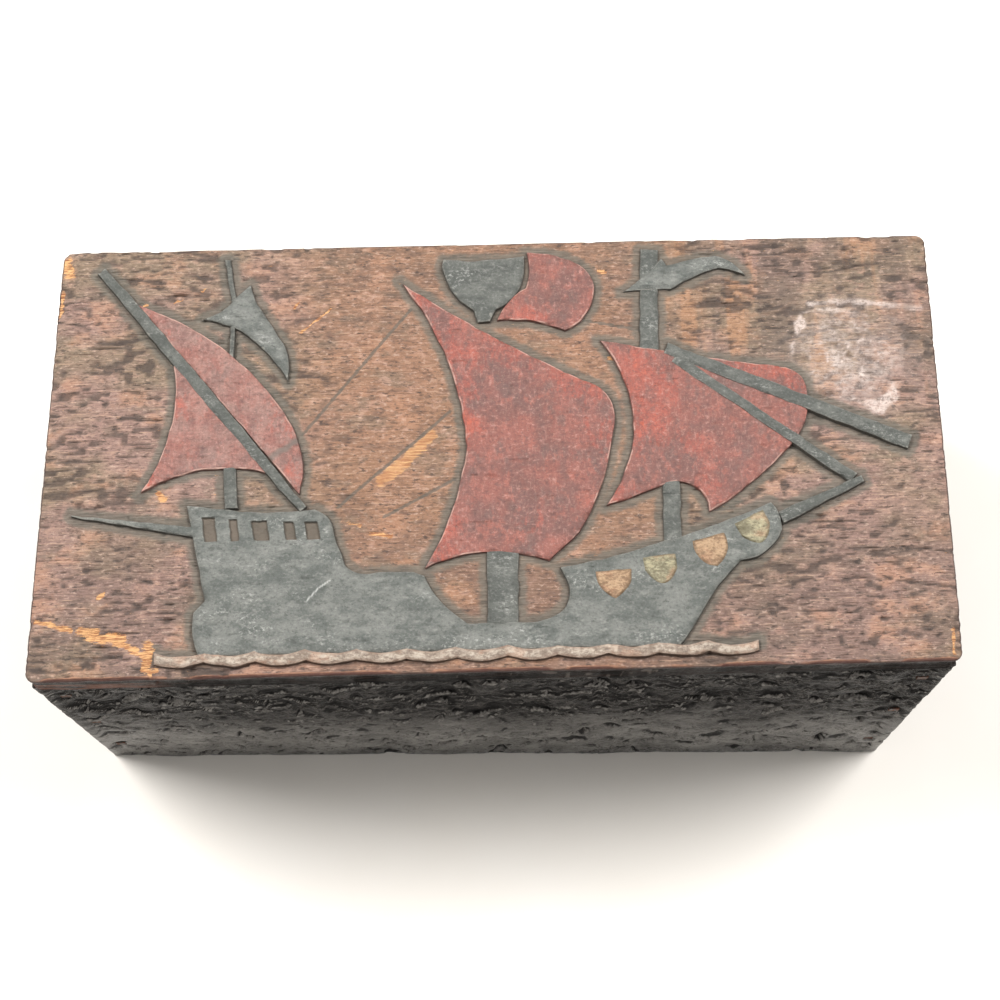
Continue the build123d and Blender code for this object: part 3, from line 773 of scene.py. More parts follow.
# Wave crests stand at an even pitch along the foot of the hull
WAVE_START, WAVE_PITCH, WAVE_COUNT = -94.0, 13.7, 12
WAVE_END = WAVE_START + WAVE_PITCH * WAVE_COUNT
figures = {
    "ship_hull": (
        (-87, -14.5, 0), (-64.7, -17.5, 0), (-50.6, -16.7, 1.3), (-45.2, -23.8, 0), (-42.4, -32.9, -0.6),
        (-38.4, -35.6, 0), (-23.5, -35.4, 0), (-20.4, -36.6, -1.2), (-9, -50.5, 0), (10, -50.7, -5.8),
        (16.8, -35.5, -1.6), (76.6, -17.6, 1.0), (79.4, -26.0, 2.2), (67.2, -34.8, 0), (60.6, -41.6, 0),
        (52.5, -54, 0), (49, -58.5, 0), (-82, -58.5, 0.9), (-83.8, -46, 0), (-80.9, -42.6, 0),
        (-84.9, -24.3, 0), (-118.8, -17.7, 0), (-118.8, -16.8, 0), (-85.6, -20.9, 0),
    ),
    "mizzen_sail_upper": ((-103.6, 47.9, 5.4), (-57.5, 9.0, 1.9), (-55.0, -12.7, 0)),
    "mizzen_sail_lower": ((-92.8, 31.5, 0), (-62.2, -6.6, -4.5), (-100.5, -11.4, -4.6)),
    "main_sail": (
        (-27, 53.7, -1.4), (26, 20.8, 2.6), (34.4, 9, 2.0), (23, -25.3, 0), (14, -33.7, -3.8),
        (-20.7, -35.2, -2.0), (-8.2, 1.5, -4.0),
    ),
    "fore_sail": (
        (30.6, 33.4, -0.5), (84.2, 23.5, 1.9), (90, 15, 1.7), (83.7, -1.1, 1.2), (59.1, -20.5, 0),
        (59.0, -17.4, -3.0), (47.5, -11.8, 0.3), (30.2, -18.0, -9.0),
    ),
    "topsail": (
        (10.6, 62, 1.2), (26.2, 57.8, 2.2), (29.4, 45, 1.4), (21, 36.2, -1.4), (1.2, 39.8, 1.2),
        (10, 50.5, -0.8),
    ),
    "mizzen_mast_foot": spar((-74.2, -16), (-75.0, -3), 4.0, 3.8),
    "mizzen_mast_head": (
        (-76.2, 30, 0), (-76.1, 49.5, 0), (-78.4, 61.9, 0), (-76.4, 61.9, 0), (-74.3, 49.5, 0),
        (-74.6, 30, 0),
    ),
    "main_mast": spar((0.9, -52), (1.4, -29), 9.0, 9.0),
    "fore_mast_head": spar((45.1, 29), (46.9, 62.3), 5.8, 5.4),
    "fore_mast_foot": spar((48.6, -29.5), (49.2, -10), 5.2, 5.2),
    "mizzen_yard": spar((-114.0, 58.8), (-54.0, -17.0), 3.0, 2.6, 0.6),
    "fore_yard": spar((49.8, 30.0), (117.6, -0.8), 4.0, 4.8),
    "fore_stay": spar((52.0, 27.0), (100.7, -11.3), 3.4, 3.6),
    "bowsprit": spar((103.2, -11.3), (79.0, -22.6), 2.4, 4.2),
    "crows_nest": (
        (-14, 60.4, -0.8), (10.2, 60.8, 0.6), (8.6, 50, 0.8), (1.2, 43.2, 0), (-0.4, 39.4, 0),
        (-4.2, 39.4, 0), (-5.4, 43.0, 1.2), (-13.6, 54, 0.4),
    ),
    "mizzen_pennant": (
        (-84.6, 42.3, -1.2), (-74.9, 49.3, 0), (-70.3, 53.5, 0), (-68.4, 47.6, 0), (-59.9, 33.6, 0.7),
        (-58.8, 22.1, -1.2), (-73.0, 38.2, 0), (-79.5, 41.4, 0),
    ),
    "fore_pennant": (
        (38.3, 48.3, -0.6), (50.3, 59.3, 0), (51.8, 56.8, 0.3), (66, 59.8, 1.4), (74.9, 52.6, -0.6),
        (67, 55.5, -0.4), (52.5, 48.8, 0),
    ),
    "waves": (
        *[(WAVE_START + WAVE_PITCH * i, -56.8, -1.3) for i in range(WAVE_COUNT)],
        (WAVE_END, -56.8, 0),
        *[(WAVE_END - WAVE_PITCH * i, -60.4, 1.1) for i in range(WAVE_COUNT)],
        (WAVE_START, -60.4, 0),
    ),
    "shield_1": shield(31.9, -40.8, 2.0, 10.8, 8.8, 1.6),
    "shield_2": shield(44.9, -36.8, 5.0, 9.7, 8.6),
    "shield_3": shield(59.4, -32.0, 13.0, 9.8, 9.4, 2.2),
    "shield_4": shield(71.9, -25.8, 26.0, 9.8, 8.8),
}
rigging = (
    ((-54.5, 6.2), (-23.5, 44.6)),
    ((-44.4, -16.0), (-12.5, 12.2)),
    ((-31.7, -19.3), (-11.5, -8.5)),
    ((25.0, 40.2), (42.6, 36.4)),
)


def carved_line(stations, step=0.35):
    """Points along the arcs and straights of an outline, with a knife's small wobbles."""
    points = []
    for (x0, y0, bow), (x1, y1, _) in zip(stations, stations[1:] + stations[:1]):
        length = hypot(x1 - x0, y1 - y0)
        out_x, out_y = -(y1 - y0) / length, (x1 - x0) / length
        for index in range(max(1, round(length / step))):
            part = index / max(1, round(length / step))
            rise = bow * 4 * part * (1 - part)
            x, y = x0 + (x1 - x0) * part + out_x * rise, y0 + (y1 - y0) * part + out_y * rise
            points.append((x, y))
    points = np.array(points)
    wobble_x = 0.22 * rough(points[:, 0] / 3.4, points[:, 1] / 3.4, 11)
    wobble_y = 0.22 * rough(points[:, 0] / 3.6, points[:, 1] / 3.6, 12)
    return points + np.stack([wobble_x, wobble_y + CARVING_Y], axis=1)


def nearness(place, lines):
    """Distance of every point to the nearest of the lines' points, in the plane of the lid."""
    joined = np.concatenate(lines)
    tree = kdtree.KDTree(len(joined))
    for index, (x, y) in enumerate(joined):
        tree.insert((x, y, 0), index)
    tree.balance()
    return np.array([tree.find((x, y, 0))[2] for x, y in place[:, :2]])


outlines = {name: carved_line(stations) for name, stations in figures.items()}
cut_lines = []
for (x0, y0), (x1, y1) in rigging:
    parts = np.linspace(0, 1, round(hypot(x1 - x0, y1 - y0) / 0.35))
    cut_lines.append(np.stack([x0 + (x1 - x0) * parts, y0 + (y1 - y0) * parts + CARVING_Y], axis=1))

# ---- Lid: the board and its ground ----
# The lowered ground is stained mauve brown, gouged left and right and rubbed orange in the
# middle. Slate paint has crept off the figures on to it, and raw wood shows in the chips.
lid_size = (BOX_WIDTH, BOX_DEPTH, LID_THICKNESS)
lid_outer, place = slab("lid_ground", lid_size, 0.615, 0.8, 4, 4, 3.0)
lid_y, below = place[:, 1].copy(), -place[:, 2]
lid_x = place[:, 0] + lean(lid_y)
flat = np.stack([lid_x, lid_y], axis=1)
from_figures = nearness(flat, list(outlines.values()))
from_lines = nearness(flat, cut_lines)
side_gap = HALF_WIDTH - np.abs(place[:, 0])
front_gap, back_gap = HALF_DEPTH + lid_y, HALF_DEPTH - lid_y
edge_gap = np.minimum.reduce([side_gap, front_gap, back_gap])


def path_distance(x, y, points):
    """Distance of every point to a path of straight stretches."""
    away = np.full(len(x), 1e3)
    for (x0, y0), (x1, y1) in zip(points, points[1:]):
        run = (x1 - x0) ** 2 + (y1 - y0) ** 2
        part = np.clip(((x - x0) * (x1 - x0) + (y - y0) * (y1 - y0)) / run, 0, 1)
        away = np.minimum(away, np.hypot(x - x0 - part * (x1 - x0), y - y0 - part * (y1 - y0)))
    return away


def near_path(x, y, points, width):
    """1 on a path of straight stretches, falling to 0 beyond that width."""
    away = path_distance(x, y, points) + 0.4 * width * rough(x / 1.9, y / 0.8, 63)
    return 1 - smooth_step(away, width * 0.3, width * 1.5)


def lid_paths(*paths):
    """1 on the lid's points that lie on any of several paths, each with its width."""
    return [near_path(lid_x, lid_y, points, width) for *points, width in paths]


# Open grain: gouges and splits along it, most of them towards the sides, and pecks
sides_part = smooth_step(np.abs(lid_x + 4) + 14 * rough(lid_x / 25, lid_y / 18, 51), 34, 66)
bent_y = lid_y + 0.9 * rough(lid_x / 9, lid_y / 6, 55)
gouges = rough(lid_x / 3.0, bent_y / 1.1, 52) + 0.4 * rough(lid_x / 15, bent_y / 8, 53)
gouges = smooth_step(gouges, 0.38, 0.72) * (0.10 + 0.90 * sides_part)
splits = rough(lid_x / 7, bent_y / 0.9, 56) + 0.4 * rough(lid_x / 30, bent_y / 12, 57)
splits = smooth_step(splits, 0.58, 0.86) * (0.30 + 0.70 * sides_part)
pecks = scatter(lid_x * 0.62, lid_y, 4.6, 1.0, 54, 0.42) * (0.10 + 0.90 * sides_part)
fibres = rough(lid_x / 16, bent_y / 0.75, 60) + 0.6 * rough(lid_x / 8, bent_y / 0.7, 61)
lid_cut = 0.50 * gouges + 0.45 * splits + 0.30 * pecks + 0.07 * (fibres + 1.6)
lid_cut += 0.16 * (1 + rough(lid_x / 24, lid_y / 11, 62))
lid_cut += 0.10 * (1 + rough(lid_x / 6, lid_y / 3, 68)) * sides_part
lid_cut += 0.22 * (1 - smooth_step(from_figures, 0.3, 1.6))
lid_cut += 0.4 * (1 - smooth_step(from_lines, 0.2, 0.7))

# Chips that show raw wood: the points of a path, then its width
chips = (
    ((-127, -47.8), (-124, -48.4), (-120, -50.0), (-117, -50.6), 0.8),
    ((-115, -51.0), (-113, -51.4), (-110, -51.2), 1.1),
    ((-112, -53.0), (-106, -53.2), (-103, -53.8), 1.5),
    ((-105, -54.6), (-102.5, -55.2), 0.8),
    ((-101.5, -55.4), (-99.0, -57.2), (-96.0, -58.6), 1.0),
    ((-95.8, -55.5), (-95.6, -58.5), (-96.2, -60.4), 1.5),
    ((-97, -62.2), (-93.6, -62.4), 0.8),
    ((-95.2, -63.2), (-94.6, -65.0), 0.5),
    ((-125.0, 61.8), (-123.6, 58), 1.8),
    ((-125.2, 52), (-125.9, 44), 0.7),
    ((124.0, -56.0), (123.4, -62.8), 0.5),
    ((-110.1, -41.6), (-108.5, -40.2), 0.6),
    ((-94.9, -11.7), (-93.1, -13.3), 1.0),
    ((-84.6, 51.2), (-83.8, 51.8), 0.3),
    ((-92.4, 47.8), (-90.0, 48.6), 0.3),
    ((-57.6, 45.0), (-56.2, 47.0), 0.35),
    ((-55.6, 37.0), (-46.9, 44.4), 0.3),
    ((-41.9, -21.5), (-38.2, -22.2), 0.5),
    ((-35.2, -24.9), (-29.6, -25.6), 0.6),
    ((31.6, 55.0), (34, 54.2), 0.6),
    ((33.6, 27.2), (35.4, 26.6), 0.7),
    ((-101.6, 47.2), (-100.2, 46.8), 0.35),
)
raw = np.maximum.reduce(lid_paths(*chips))
(amber,) = lid_paths(((-32.6, -9.4), (-25.2, -3.2), (-17.8, 4.2), 1.9))
corner_paths = (((-125.4, 62.0), (-123.8, 54), 2.4), ((126.6, -63.5), (126.2, -57), 2.0))
split_paths = (((112, -32.2), (127, -34.0), 0.4), ((110, -41.9), (126, -44.2), 0.4))
corner_chips, side_splits = sum(lid_paths(*corner_paths)), sum(lid_paths(*split_paths))
lid_cut += 0.35 * raw + 0.6 * np.clip(corner_chips, 0, 1) + 0.15 * amber
lid_cut += 0.5 * np.clip(side_splits, 0, 1)

# Spilt wax: a patch with a swollen rim and crazed skin, and a dribble above it
wax_edge = (
    (90, 40), (97, 41), (108, 40), (114, 34), (117, 24), (114, 14), (110, 10), (104, 12), (95, 18),
    (84, 24), (88, 32), (90, 40),
)
wax_away = path_distance(lid_x, lid_y, wax_edge)
in_wax = np.exp(-(((lid_x - 103) / 13) ** 2) - ((lid_y - 26) / 14) ** 2)
crazed = np.abs(rough(lid_x / 4.5, lid_y / 3.6, 66) + 0.5 * rough(lid_x / 1.7, lid_y / 1.4, 67))
lumps = 0.45 + 0.3 * rough(lid_x / 7, lid_y / 5, 68) + 0.35 * rough(lid_x / 1.9, lid_y / 1.3, 69)
wax = in_wax * (lumps + 0.5 * (1 - smooth_step(crazed, 0.02, 0.22)))
rim_line = 1 - smooth_step(wax_away + 1.6 * rough(lid_x / 5, lid_y / 4, 71), 0.5, 1.6)
wax += 0.75 * rim_line * smooth_step(rough(lid_x / 9, lid_y / 7, 72), -0.25, 0.3)
(dribble,) = lid_paths(((93, 42.8), (105, 43.6), (125, 40.6), 0.8))
wax += 0.9 * dribble * (0.6 + 0.5 * rough(lid_x / 3, lid_y / 2, 73))
wax = np.clip(wax, 0, 1)
lid_cut -= 0.25 * wax

# The rolled arris is nicked, and the board's edges are hewn like the walls below
front_cut, front_above, _ = hewn_thrice(lid_x, GROUND - below, 40, 1.0, 0.2)
on_front = (front_gap < 1.5) & (lid_x > -94)
side_cut = np.where(on_front, 0.4 * front_cut, 0.12 * hewn(lid_x + lid_y, below, 210, 0.8, 0.2))
side_cut *= smooth_step(below, 1.0, 2.2)
nicks = 0.16 * smooth_step(rough((lid_x + 2 * lid_y) / 5.5, below / 6, 211), 0.45, 0.9)
side_cut += nicks * (1 - smooth_step(edge_gap, 0, 2.2))
side_cut *= np.clip((LID_THICKNESS - below) / 1.5, 0, 1)
lid_cut -= 0.35 * smooth_step(edge_gap, 1.0, 4.0)
lid_cut = np.where(below < 1.21, lid_cut, 0)
place[:, 0] -= np.sign(place[:, 0]) * side_cut * (side_gap < 1.5)
place[:, 1] -= np.sign(place[:, 1]) * side_cut * (np.minimum(front_gap, back_gap) < 1.5)
place[:, 0] += lean(lid_y)
place[:, 2] = GROUND - below - np.clip(lid_cut, -0.4, 3.0)
bed_floor = BODY_HEIGHT + LEAF_GAP / 2 + LEAF + BED_CLEARANCE
for middle in HINGE_MIDDLES:
    bed = (np.abs(lid_x - middle) < HINGE_LENGTH / 2) & (lid_y > HALF_DEPTH - LEAF_WIDTH)
    place[:, 2] = np.where(bed & (below > 7.5), np.maximum(place[:, 2], bed_floor), place[:, 2])
set_points(lid_outer, place)
arris_wear = smooth_step(rough(lid_x / 8, 0.5 + 0 * lid_x, 70), -0.75, 0.1)
mark(
    lid_outer,
    paint_creep=(1 - smooth_step(from_figures, 0.6, 4.0)) * smooth_step(front_gap, 3.2, 5.0),
    foot_shadow=1 - smooth_step(from_figures, 0.1, 0.6),
    line_cut=1 - smooth_step(from_lines, 0.25, 0.8),
    ledge=smooth_step(front_above - front_cut, 0.25, 1.1) * (front_gap < 2.5),
    raw_wood=raw,
    amber=np.clip(amber, 0, 1),
    wax=wax,
    pecked=np.clip(0.9 * gouges + 0.8 * pecks + 1.2 * splits + side_splits, 0, 1),
    front_arris=(1 - smooth_step(front_gap, 0.3, 1.9)) * arris_wear,
    side_arris=1 - smooth_step(np.minimum(side_gap, back_gap), 0.1, 0.9),
    drop=below,
)


def mottle(paint, size, dark, dark_amount, pale, pale_amount):
    """Works dark pits and pale flecks of one size into a paint."""
    marks = paint.noise(size, 4.0, 0.72)
    paint.lay(mask(marks, 0.47, 0.33) * dark_amount, dark)
    paint.lay(mask(marks, 0.54, 0.69) * pale_amount, pale)


# The ground's stain: broad tones first, then streaks, grain, flecks, darkening in gouges and hollows
lid = Paint("lid_stained_wood")
rubbed_and_highlit, darker_in_hollows, speckle = wear_of(lid, 0.55, 0.48)
x, y, _ = axes(lid)
fine_lines = lid.noise((7, 0.55, 3), 5.0, 0.7)
clouds = lid.noise((17, 12, 20), 4.0, 0.6)
middle_part = mask(abs(x + 0.004) + clouds * 0.05, 0.100, 0.055)
broad = lid.noise((40, 26, 20), 3.0, 0.55)
lid.colour = coat(mask(broad, 0.42, 0.58), (150, 120, 108), (134, 114, 94))
lid.lay(middle_part * 0.9, (148, 109, 83))
lid.lay(mask(clouds, 0.52, 0.64) * 0.5, (180, 132, 102))
olive = mask(lid.noise((12, 6, 10), 5.0, 0.65), 0.52, 0.64)
lid.lay(olive * 0.5, (112, 100, 84))
blotches = lid.noise((4.6, 2.8, 4), 4.0, 0.65)
lid.lay(mask(blotches, 0.46, 0.34) * 0.5, (96, 74, 64))
lid.lay(mask(blotches, 0.54, 0.68) * 0.5, (190, 152, 132))
near_foot = mask(y, -0.012, -0.045) * mask(clouds, 0.60, 0.46)
lid.lay(near_foot * 0.5, (104, 84, 76))
top_middle = mask(y, 0.030, 0.050) * middle_part
lid.lay(top_middle * mask(blotches, 0.60, 0.44) * 0.5, (110, 88, 74))
streak_zone = mask(x, 0.030, 0.060) * mask(y, 0.004, 0.030)
streaks = lid.noise((9, 80, 20), 3.0, 0.5)
lid.lay(mask(streaks, 0.48, 0.58) * streak_zone * 0.6, (96, 82, 72))
lid.lay(mask(streaks, 0.47, 0.38) * streak_zone * 0.6, (176, 128, 92))
lid.lay(mask(fine_lines, 0.47, 0.32) * (0.85 - middle_part * 0.3), (84, 60, 50))
lid.lay(mask(fine_lines, 0.54, 0.68) * 0.5, (214, 176, 148))
mottle(lid, (1.7, 0.9, 1.7), (74, 56, 48), 0.6, (210, 180, 162), 0.5)
dashes = mask(lid.noise((2.4, 0.8, 2), 4.0, 0.6), 0.58, 0.66)
lid.lay(dashes * 0.75, (62, 50, 44))
lid.lay(ragged(kept(lid, "pecked"), fine_lines, 0.8) * 0.8, (62, 51, 45))
lid.lay(darker_in_hollows * 0.6, (52, 42, 37))
# Ridges rubbed pale, partly a painted highlight.
lid.lay(rubbed_and_highlit * 0.4, (208, 172, 152))
# What lies on it: amber wood, wax, paint crept off the figures, cut lines and raw chips
amber_part = frayed(lid, "amber", fine_lines, 1.8, 0.40, 0.75)
amber_tone = coat(mask(fine_lines, 0.40, 0.62), (172, 116, 74), (220, 172, 118))
lid.lay(amber_part * 0.75, amber_tone)
wax_threads = mask(lid.noise((1.3, 1.0, 2), 6.0, 0.75), 0.38, 0.58)
lid.lay(kept(lid, "wax") * (0.3 + wax_threads * 0.65), (222, 204, 194))
creep_noise = lid.noise((2.4, 1.6, 2.4), 5.0, 0.65)
creep_part = frayed(lid, "paint_creep", creep_noise, 1.1, 0.20, 0.95)
creep_tone = coat(mask(fine_lines, 0.35, 0.65), (86, 81, 72), (116, 109, 97))
lid.lay(creep_part * 0.85, creep_tone)
lid.lay(kept(lid, "foot_shadow") * 0.35, (56, 49, 44))
line_part = frayed(lid, "line_cut", creep_noise, 1.0, 0.35, 0.85)
lid.lay(line_part * 0.75, (92, 86, 77))
splinters = lid.noise((2.6, 0.42, 2), 5.0, 0.8)
raw_fibre = lid.noise((3.4, 0.36, 2), 4.0, 0.7, (0.1, 0.2, 0))
raw_tone = coat(mask(raw_fibre, 0.38, 0.60), (142, 86, 50), (222, 172, 118))
lid.lay(frayed(lid, "raw_wood", splinters, 3.0, 0.46, 0.58), raw_tone)
# Edges: a pale rub along the front arris over dark red brown, and nearly black sides with painted
# highlights
grime = lid.noise((5, 5, 1.0), 5.0, 0.7)
arris, drop = kept(lid, "front_arris"), kept(lid, "drop")
arris_tone = coat(mask(grime, 0.35, 0.65), (94, 54, 40), (170, 124, 96))
lid.lay(mask(ragged(arris, grime, 1.0), 0.35, 0.65) * 0.85, arris_tone)
lid.lay(mask(ragged(arris, grime, 0.7), 0.66, 0.86) * 0.8, (66, 30, 21))
lid.lay(mask(ragged(drop, grime, 0.4), 0.05, 0.40) * 0.9, (54, 24, 17))
side_part = frayed(lid, "side_arris", grime, 0.8, 0.3, 0.7)
lid.lay(side_part * 0.85, (66, 42, 36))
side_lines = lid.noise((12, 12, 0.8), 5.0, 0.65)
side_tone = coat(mask(side_lines, 0.45, 0.68), (14, 10, 9), (46, 33, 28))
# Painted highlight: the lower half of the side at the left front is streaked paler, as if catching the
# light.
low_band = mask(drop, 3.6, 4.6) * mask(x, -0.088, -0.104) * mask(y, -0.060, -0.064)
side_tone = coat(low_band * mask(side_lines, 0.36, 0.56), side_tone, (112, 72, 56))
# Painted highlight on the ledges of the hewn front side.
side_ledge_highlight = frayed(lid, "ledge", grime, 0.8, 0.35, 0.85)
side_tone = coat(side_ledge_highlight * 0.6, side_tone, (120, 112, 106))
under_edge = mask(ragged(drop, grime, 0.9), 0.8, 1.4)
lid.lay(under_edge, side_tone)
lid_wood = lid.finish(
    (fine_lines * 0.7 + creep_noise * 0.3, 0.0009, 1.0),
    Roughness=0.62 - speckle * 0.24,
    Specular_IOR_Level=0.5 - under_edge * 0.42,
)
two_faces(lid_outer, lid_wood, inner_wood, lambda face: face.normal.z < -0.7)
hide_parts("lid_board")
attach(lid_outer, "lid")

# ---- Lid: the carved figures ----
# Everything stands one or two millimetres proud, with knife-cut sides and worn tops. Hull,
# masts and pennants are slate grey, the sails a faded red, the waves tan, the shields gold.
FOOT = 0.55  # the sides run down this far below the ground, into the cut round a figure
SINK = 1.3  # and a figure's flat back lies this far below it
BEVEL = 0.35  # how far in from its steep side a figure's rounded edge reaches
NET_GAP = 0.55  # how far in from there the net of points over its top begins


def paint_shade_on_sides(paint, tone):
    """Painted shade in the cut: the steep sides of a figure are laid darker than its top, as if in
    shadow.
    """
    paint.lay(mask(kept(paint, "rim"), 0.34, 0.18) * 0.7, tone)


def slate_paint(name, dark, light, scuffed):
    """Flat grey paint, mottled and dusty on top, scuffed pale, darker where it lies thick."""
    slate = Paint(name)
    rubbed_and_highlit, darker_in_hollows, speckle = wear_of(slate, 0.53, 0.47)
    cloud = slate.noise((9, 5, 8), 5.0, 0.65)
    slate.colour = coat(mask(cloud, 0.38, 0.62), dark, light)
    mottle(slate, (2.6, 1.5, 2.4), (74, 76, 71), 0.6, (148, 147, 140), 0.5)
    mottle(slate, (0.8, 0.7, 0.8), (64, 65, 60), 0.55, (160, 159, 152), 0.30)
    scuffs = mask(slate.noise((1.2, 0.8, 1.1), 5.0, 0.75), 0.52, 0.64)
    scuff_zone = mask(slate.noise((20, 9, 20), 3.0, 0.55), 0.50, 0.62)
    slate.lay(scuffs * scuff_zone * scuffed, (188, 187, 180))
    slate.lay(kept(slate, "scuff") * 0.6, (220, 219, 213))
    slate.lay(mask(kept(slate, "rim"), 2.2, 0.5) * 0.35, (76, 77, 71))
    slate.lay(darker_in_hollows * 0.7, (48, 46, 42))
    # Ridges rubbed pale, partly a painted highlight.
    slate.lay(rubbed_and_highlit * 0.35, (176, 171, 160))
    paint_shade_on_sides(slate, (66, 62, 55))
    slate.lay(kept(slate, "sunk"), coat(cloud, (70, 66, 56), (122, 108, 95)))
    grit = slate.noise((0.7, 0.6, 0.7), 5.0, 0.75)
    return slate.finish((grit, 0.0005, 1.0), Roughness=0.62 - speckle * 0.22)


def sail_paint(name):
    """Dull rose paint gone mauve and blotchy, bright red in ragged patches of the under-coat."""
    sail = Paint(name)
    _, darker_in_hollows, speckle = wear_of(sail, 0.53, 0.47)
    brushed = sail.noise((0.7, 3.2, 3), 5.0, 0.7)
    grain = sail.noise((3.6, 0.7, 3), 5.0, 0.7)
    cloud = sail.noise((9, 12, 11), 4.0, 0.6)
    sail.colour = coat(mask(cloud, 0.38, 0.62), (110, 75, 68), (136, 82, 71))
    smudge = mask(sail.noise((4.2, 7, 6), 5.0, 0.7), 0.52, 0.64)
    sail.lay(smudge * 0.6, (102, 80, 74))
    rosy = mask(sail.noise((2.8, 4.4, 4), 5.0, 0.7, (0.2, 0.1, 0)), 0.52, 0.66)
    sail.lay(rosy * 0.55, (164, 96, 81))
    aft = mask(axes(sail)[0], -0.045, -0.052)
    faded = mask(sail.noise((5, 5, 5), 5.0, 0.7, (0.1, 0.3, 0)), 0.38, 0.62)
    sail.lay(aft * (0.12 + faded * 0.45), (156, 124, 113))
    bright = ragged(kept(sail, "bright"), sail.noise((3.2, 5.6, 4), 5.0, 0.7), 2.6)
    bright = ragged(bright, sail.noise((1.1, 1.7, 1.2), 4.0, 0.7), 1.4)
    sail.lay(mask(bright, 0.45, 1.0) * 0.55, (162, 78, 62))
    sail.lay(mask(bright, 0.95, 1.45) * 0.65, (190, 94, 70))
    sail.lay(mask(brushed, 0.54, 0.70) * 0.35, (186, 140, 128))
    sail.lay(mask(brushed, 0.46, 0.30) * 0.45, (92, 56, 50))
    mottle(sail, (1.7, 1.2, 1.6), (86, 60, 55), 0.6, (188, 144, 132), 0.45)
    mottle(sail, (0.6, 0.5, 0.6), (88, 60, 54), 0.35, (200, 158, 142), 0.22)
    # Worn edges, partly a painted highlight: a thin pale line along the sail's rim.
    edge = frayed(sail, "rim", grain, 0.6, 0.75, 0.5)
    edge = edge * mask(sail.noise((6, 6, 6), 3.0, 0.6), 0.44, 0.58)
    sail.lay(edge * 0.65, (196, 158, 144))
    sail.lay(kept(sail, "stripe") * 0.8, (104, 96, 88))
    sail.lay(darker_in_hollows * 0.65, (72, 50, 45))
    paint_shade_on_sides(sail, (82, 62, 56))
    return sail.finish((brushed * 0.5 + grain * 0.5, 0.0007, 1.0), Roughness=0.62 - speckle * 0.22)


def small_paint(name, dark, light, worn, rim, metallic=0.0):
    """The thin, much rubbed paint of the waves and the shields."""
    thin = Paint(name)
    _, darker_in_hollows, speckle = wear_of(thin, 0.52, 0.47)
    cloud = thin.noise((2.8, 1.8, 2.8), 5.0, 0.72)
    thin.colour = coat(mask(cloud, 0.40, 0.62), dark, light)
    warm = mask(thin.noise((9, 5, 9), 4.0, 0.6), 0.50, 0.64)
    thin.lay(warm * 0.35, (176, 126, 96))
    mottle(thin, (0.8, 0.6, 0.8), (76, 60, 48), 0.5, worn, 0.42)
    thin.lay(mask(kept(thin, "rim"), 1.2, 0.5) * 0.45, rim)
    thin.lay(darker_in_hollows * 0.75, (56, 44, 36))
    paint_shade_on_sides(thin, (58, 42, 32))
    return thin.finish((cloud, 0.0008, 1.0), Roughness=0.60 - speckle * 0.25, Metallic=metallic)


hull_slate = slate_paint("hull_slate_paint", (93, 96, 91), (121, 122, 116), 0.6)
spar_slate = slate_paint("spar_slate_paint", (80, 82, 77), (104, 105, 99), 0.55)
red = sail_paint("sail_red_paint")
tan, orange_gold, olive_gold = [
    small_paint(*looks)
    for looks in (
        ("wave_tan_paint", (124, 108, 94), (178, 164, 148), (206, 192, 172), (128, 102, 86)),
        ("shield_orange_gold", (128, 100, 74), (172, 142, 110), (208, 182, 150), (92, 76, 58), 0.1),
        ("shield_olive_gold", (114, 107, 84), (160, 152, 122), (194, 188, 160), (84, 77, 60), 0.15),
    )
]

# Patches where the bright under-coat shows: x, y, and how far it reaches
bright_patches = (
    (-22, 46, 4), (-12, 34, 4), (-6, 26, 4), (4, 30, 4), (20, 22, 5), (27, 16, 4), (-8, 18, 3),
    (28, 2, 4), (-10, 4, 4), (-7, 8, 3), (-16, -24, 4), (-14, -30, 3), (10, -22, 3), (38, 24, 4),
    (42, 20, 5), (46, 8, 4), (44, 2, 4), (56, -2, 4), (60, -12, 4), (72, 24, 4), (82, 22, 4),
    (86, 14, 3), (34, -16, 4), (-98, -8, 3), (-90, 14, 3), (-60, 8, 4), (-57, -6, 3), (12, 40, 3),
    (8, 40, 3), (50, 16, 4),
)


def is_inside(x, y, ring):
    """Which points lie inside a closed outline."""
    within = np.zeros(len(x), dtype=bool)
    for (x0, y0), (x1, y1) in zip(ring, np.roll(ring, -1, axis=0)):
        crosses = (y0 > y) != (y1 > y)
        within ^= crosses & (x < x0 + (x1 - x0) * (y - y0) / (y1 - y0 + 1e-12))
    return within


def inset(ring, amount):
    """A clockwise outline drawn in by that much."""
    run = np.roll(ring, -1, axis=0) - np.roll(ring, 1, axis=0)
    run /= np.hypot(run[:, 0], run[:, 1])[:, None]
    return ring + np.stack([run[:, 1], -run[:, 0]], axis=1) * amount


def net(low, high, pitch):
    """Points of a triangular net over a rectangle."""
    across, up = np.arange(low[0], high[0], pitch), np.arange(low[1], high[1], pitch * 0.87)
    net_x, net_y = np.meshgrid(across, up)
    net_x[1::2] += pitch / 2
    return np.stack([net_x.ravel(), net_y.ravel()], axis=1)


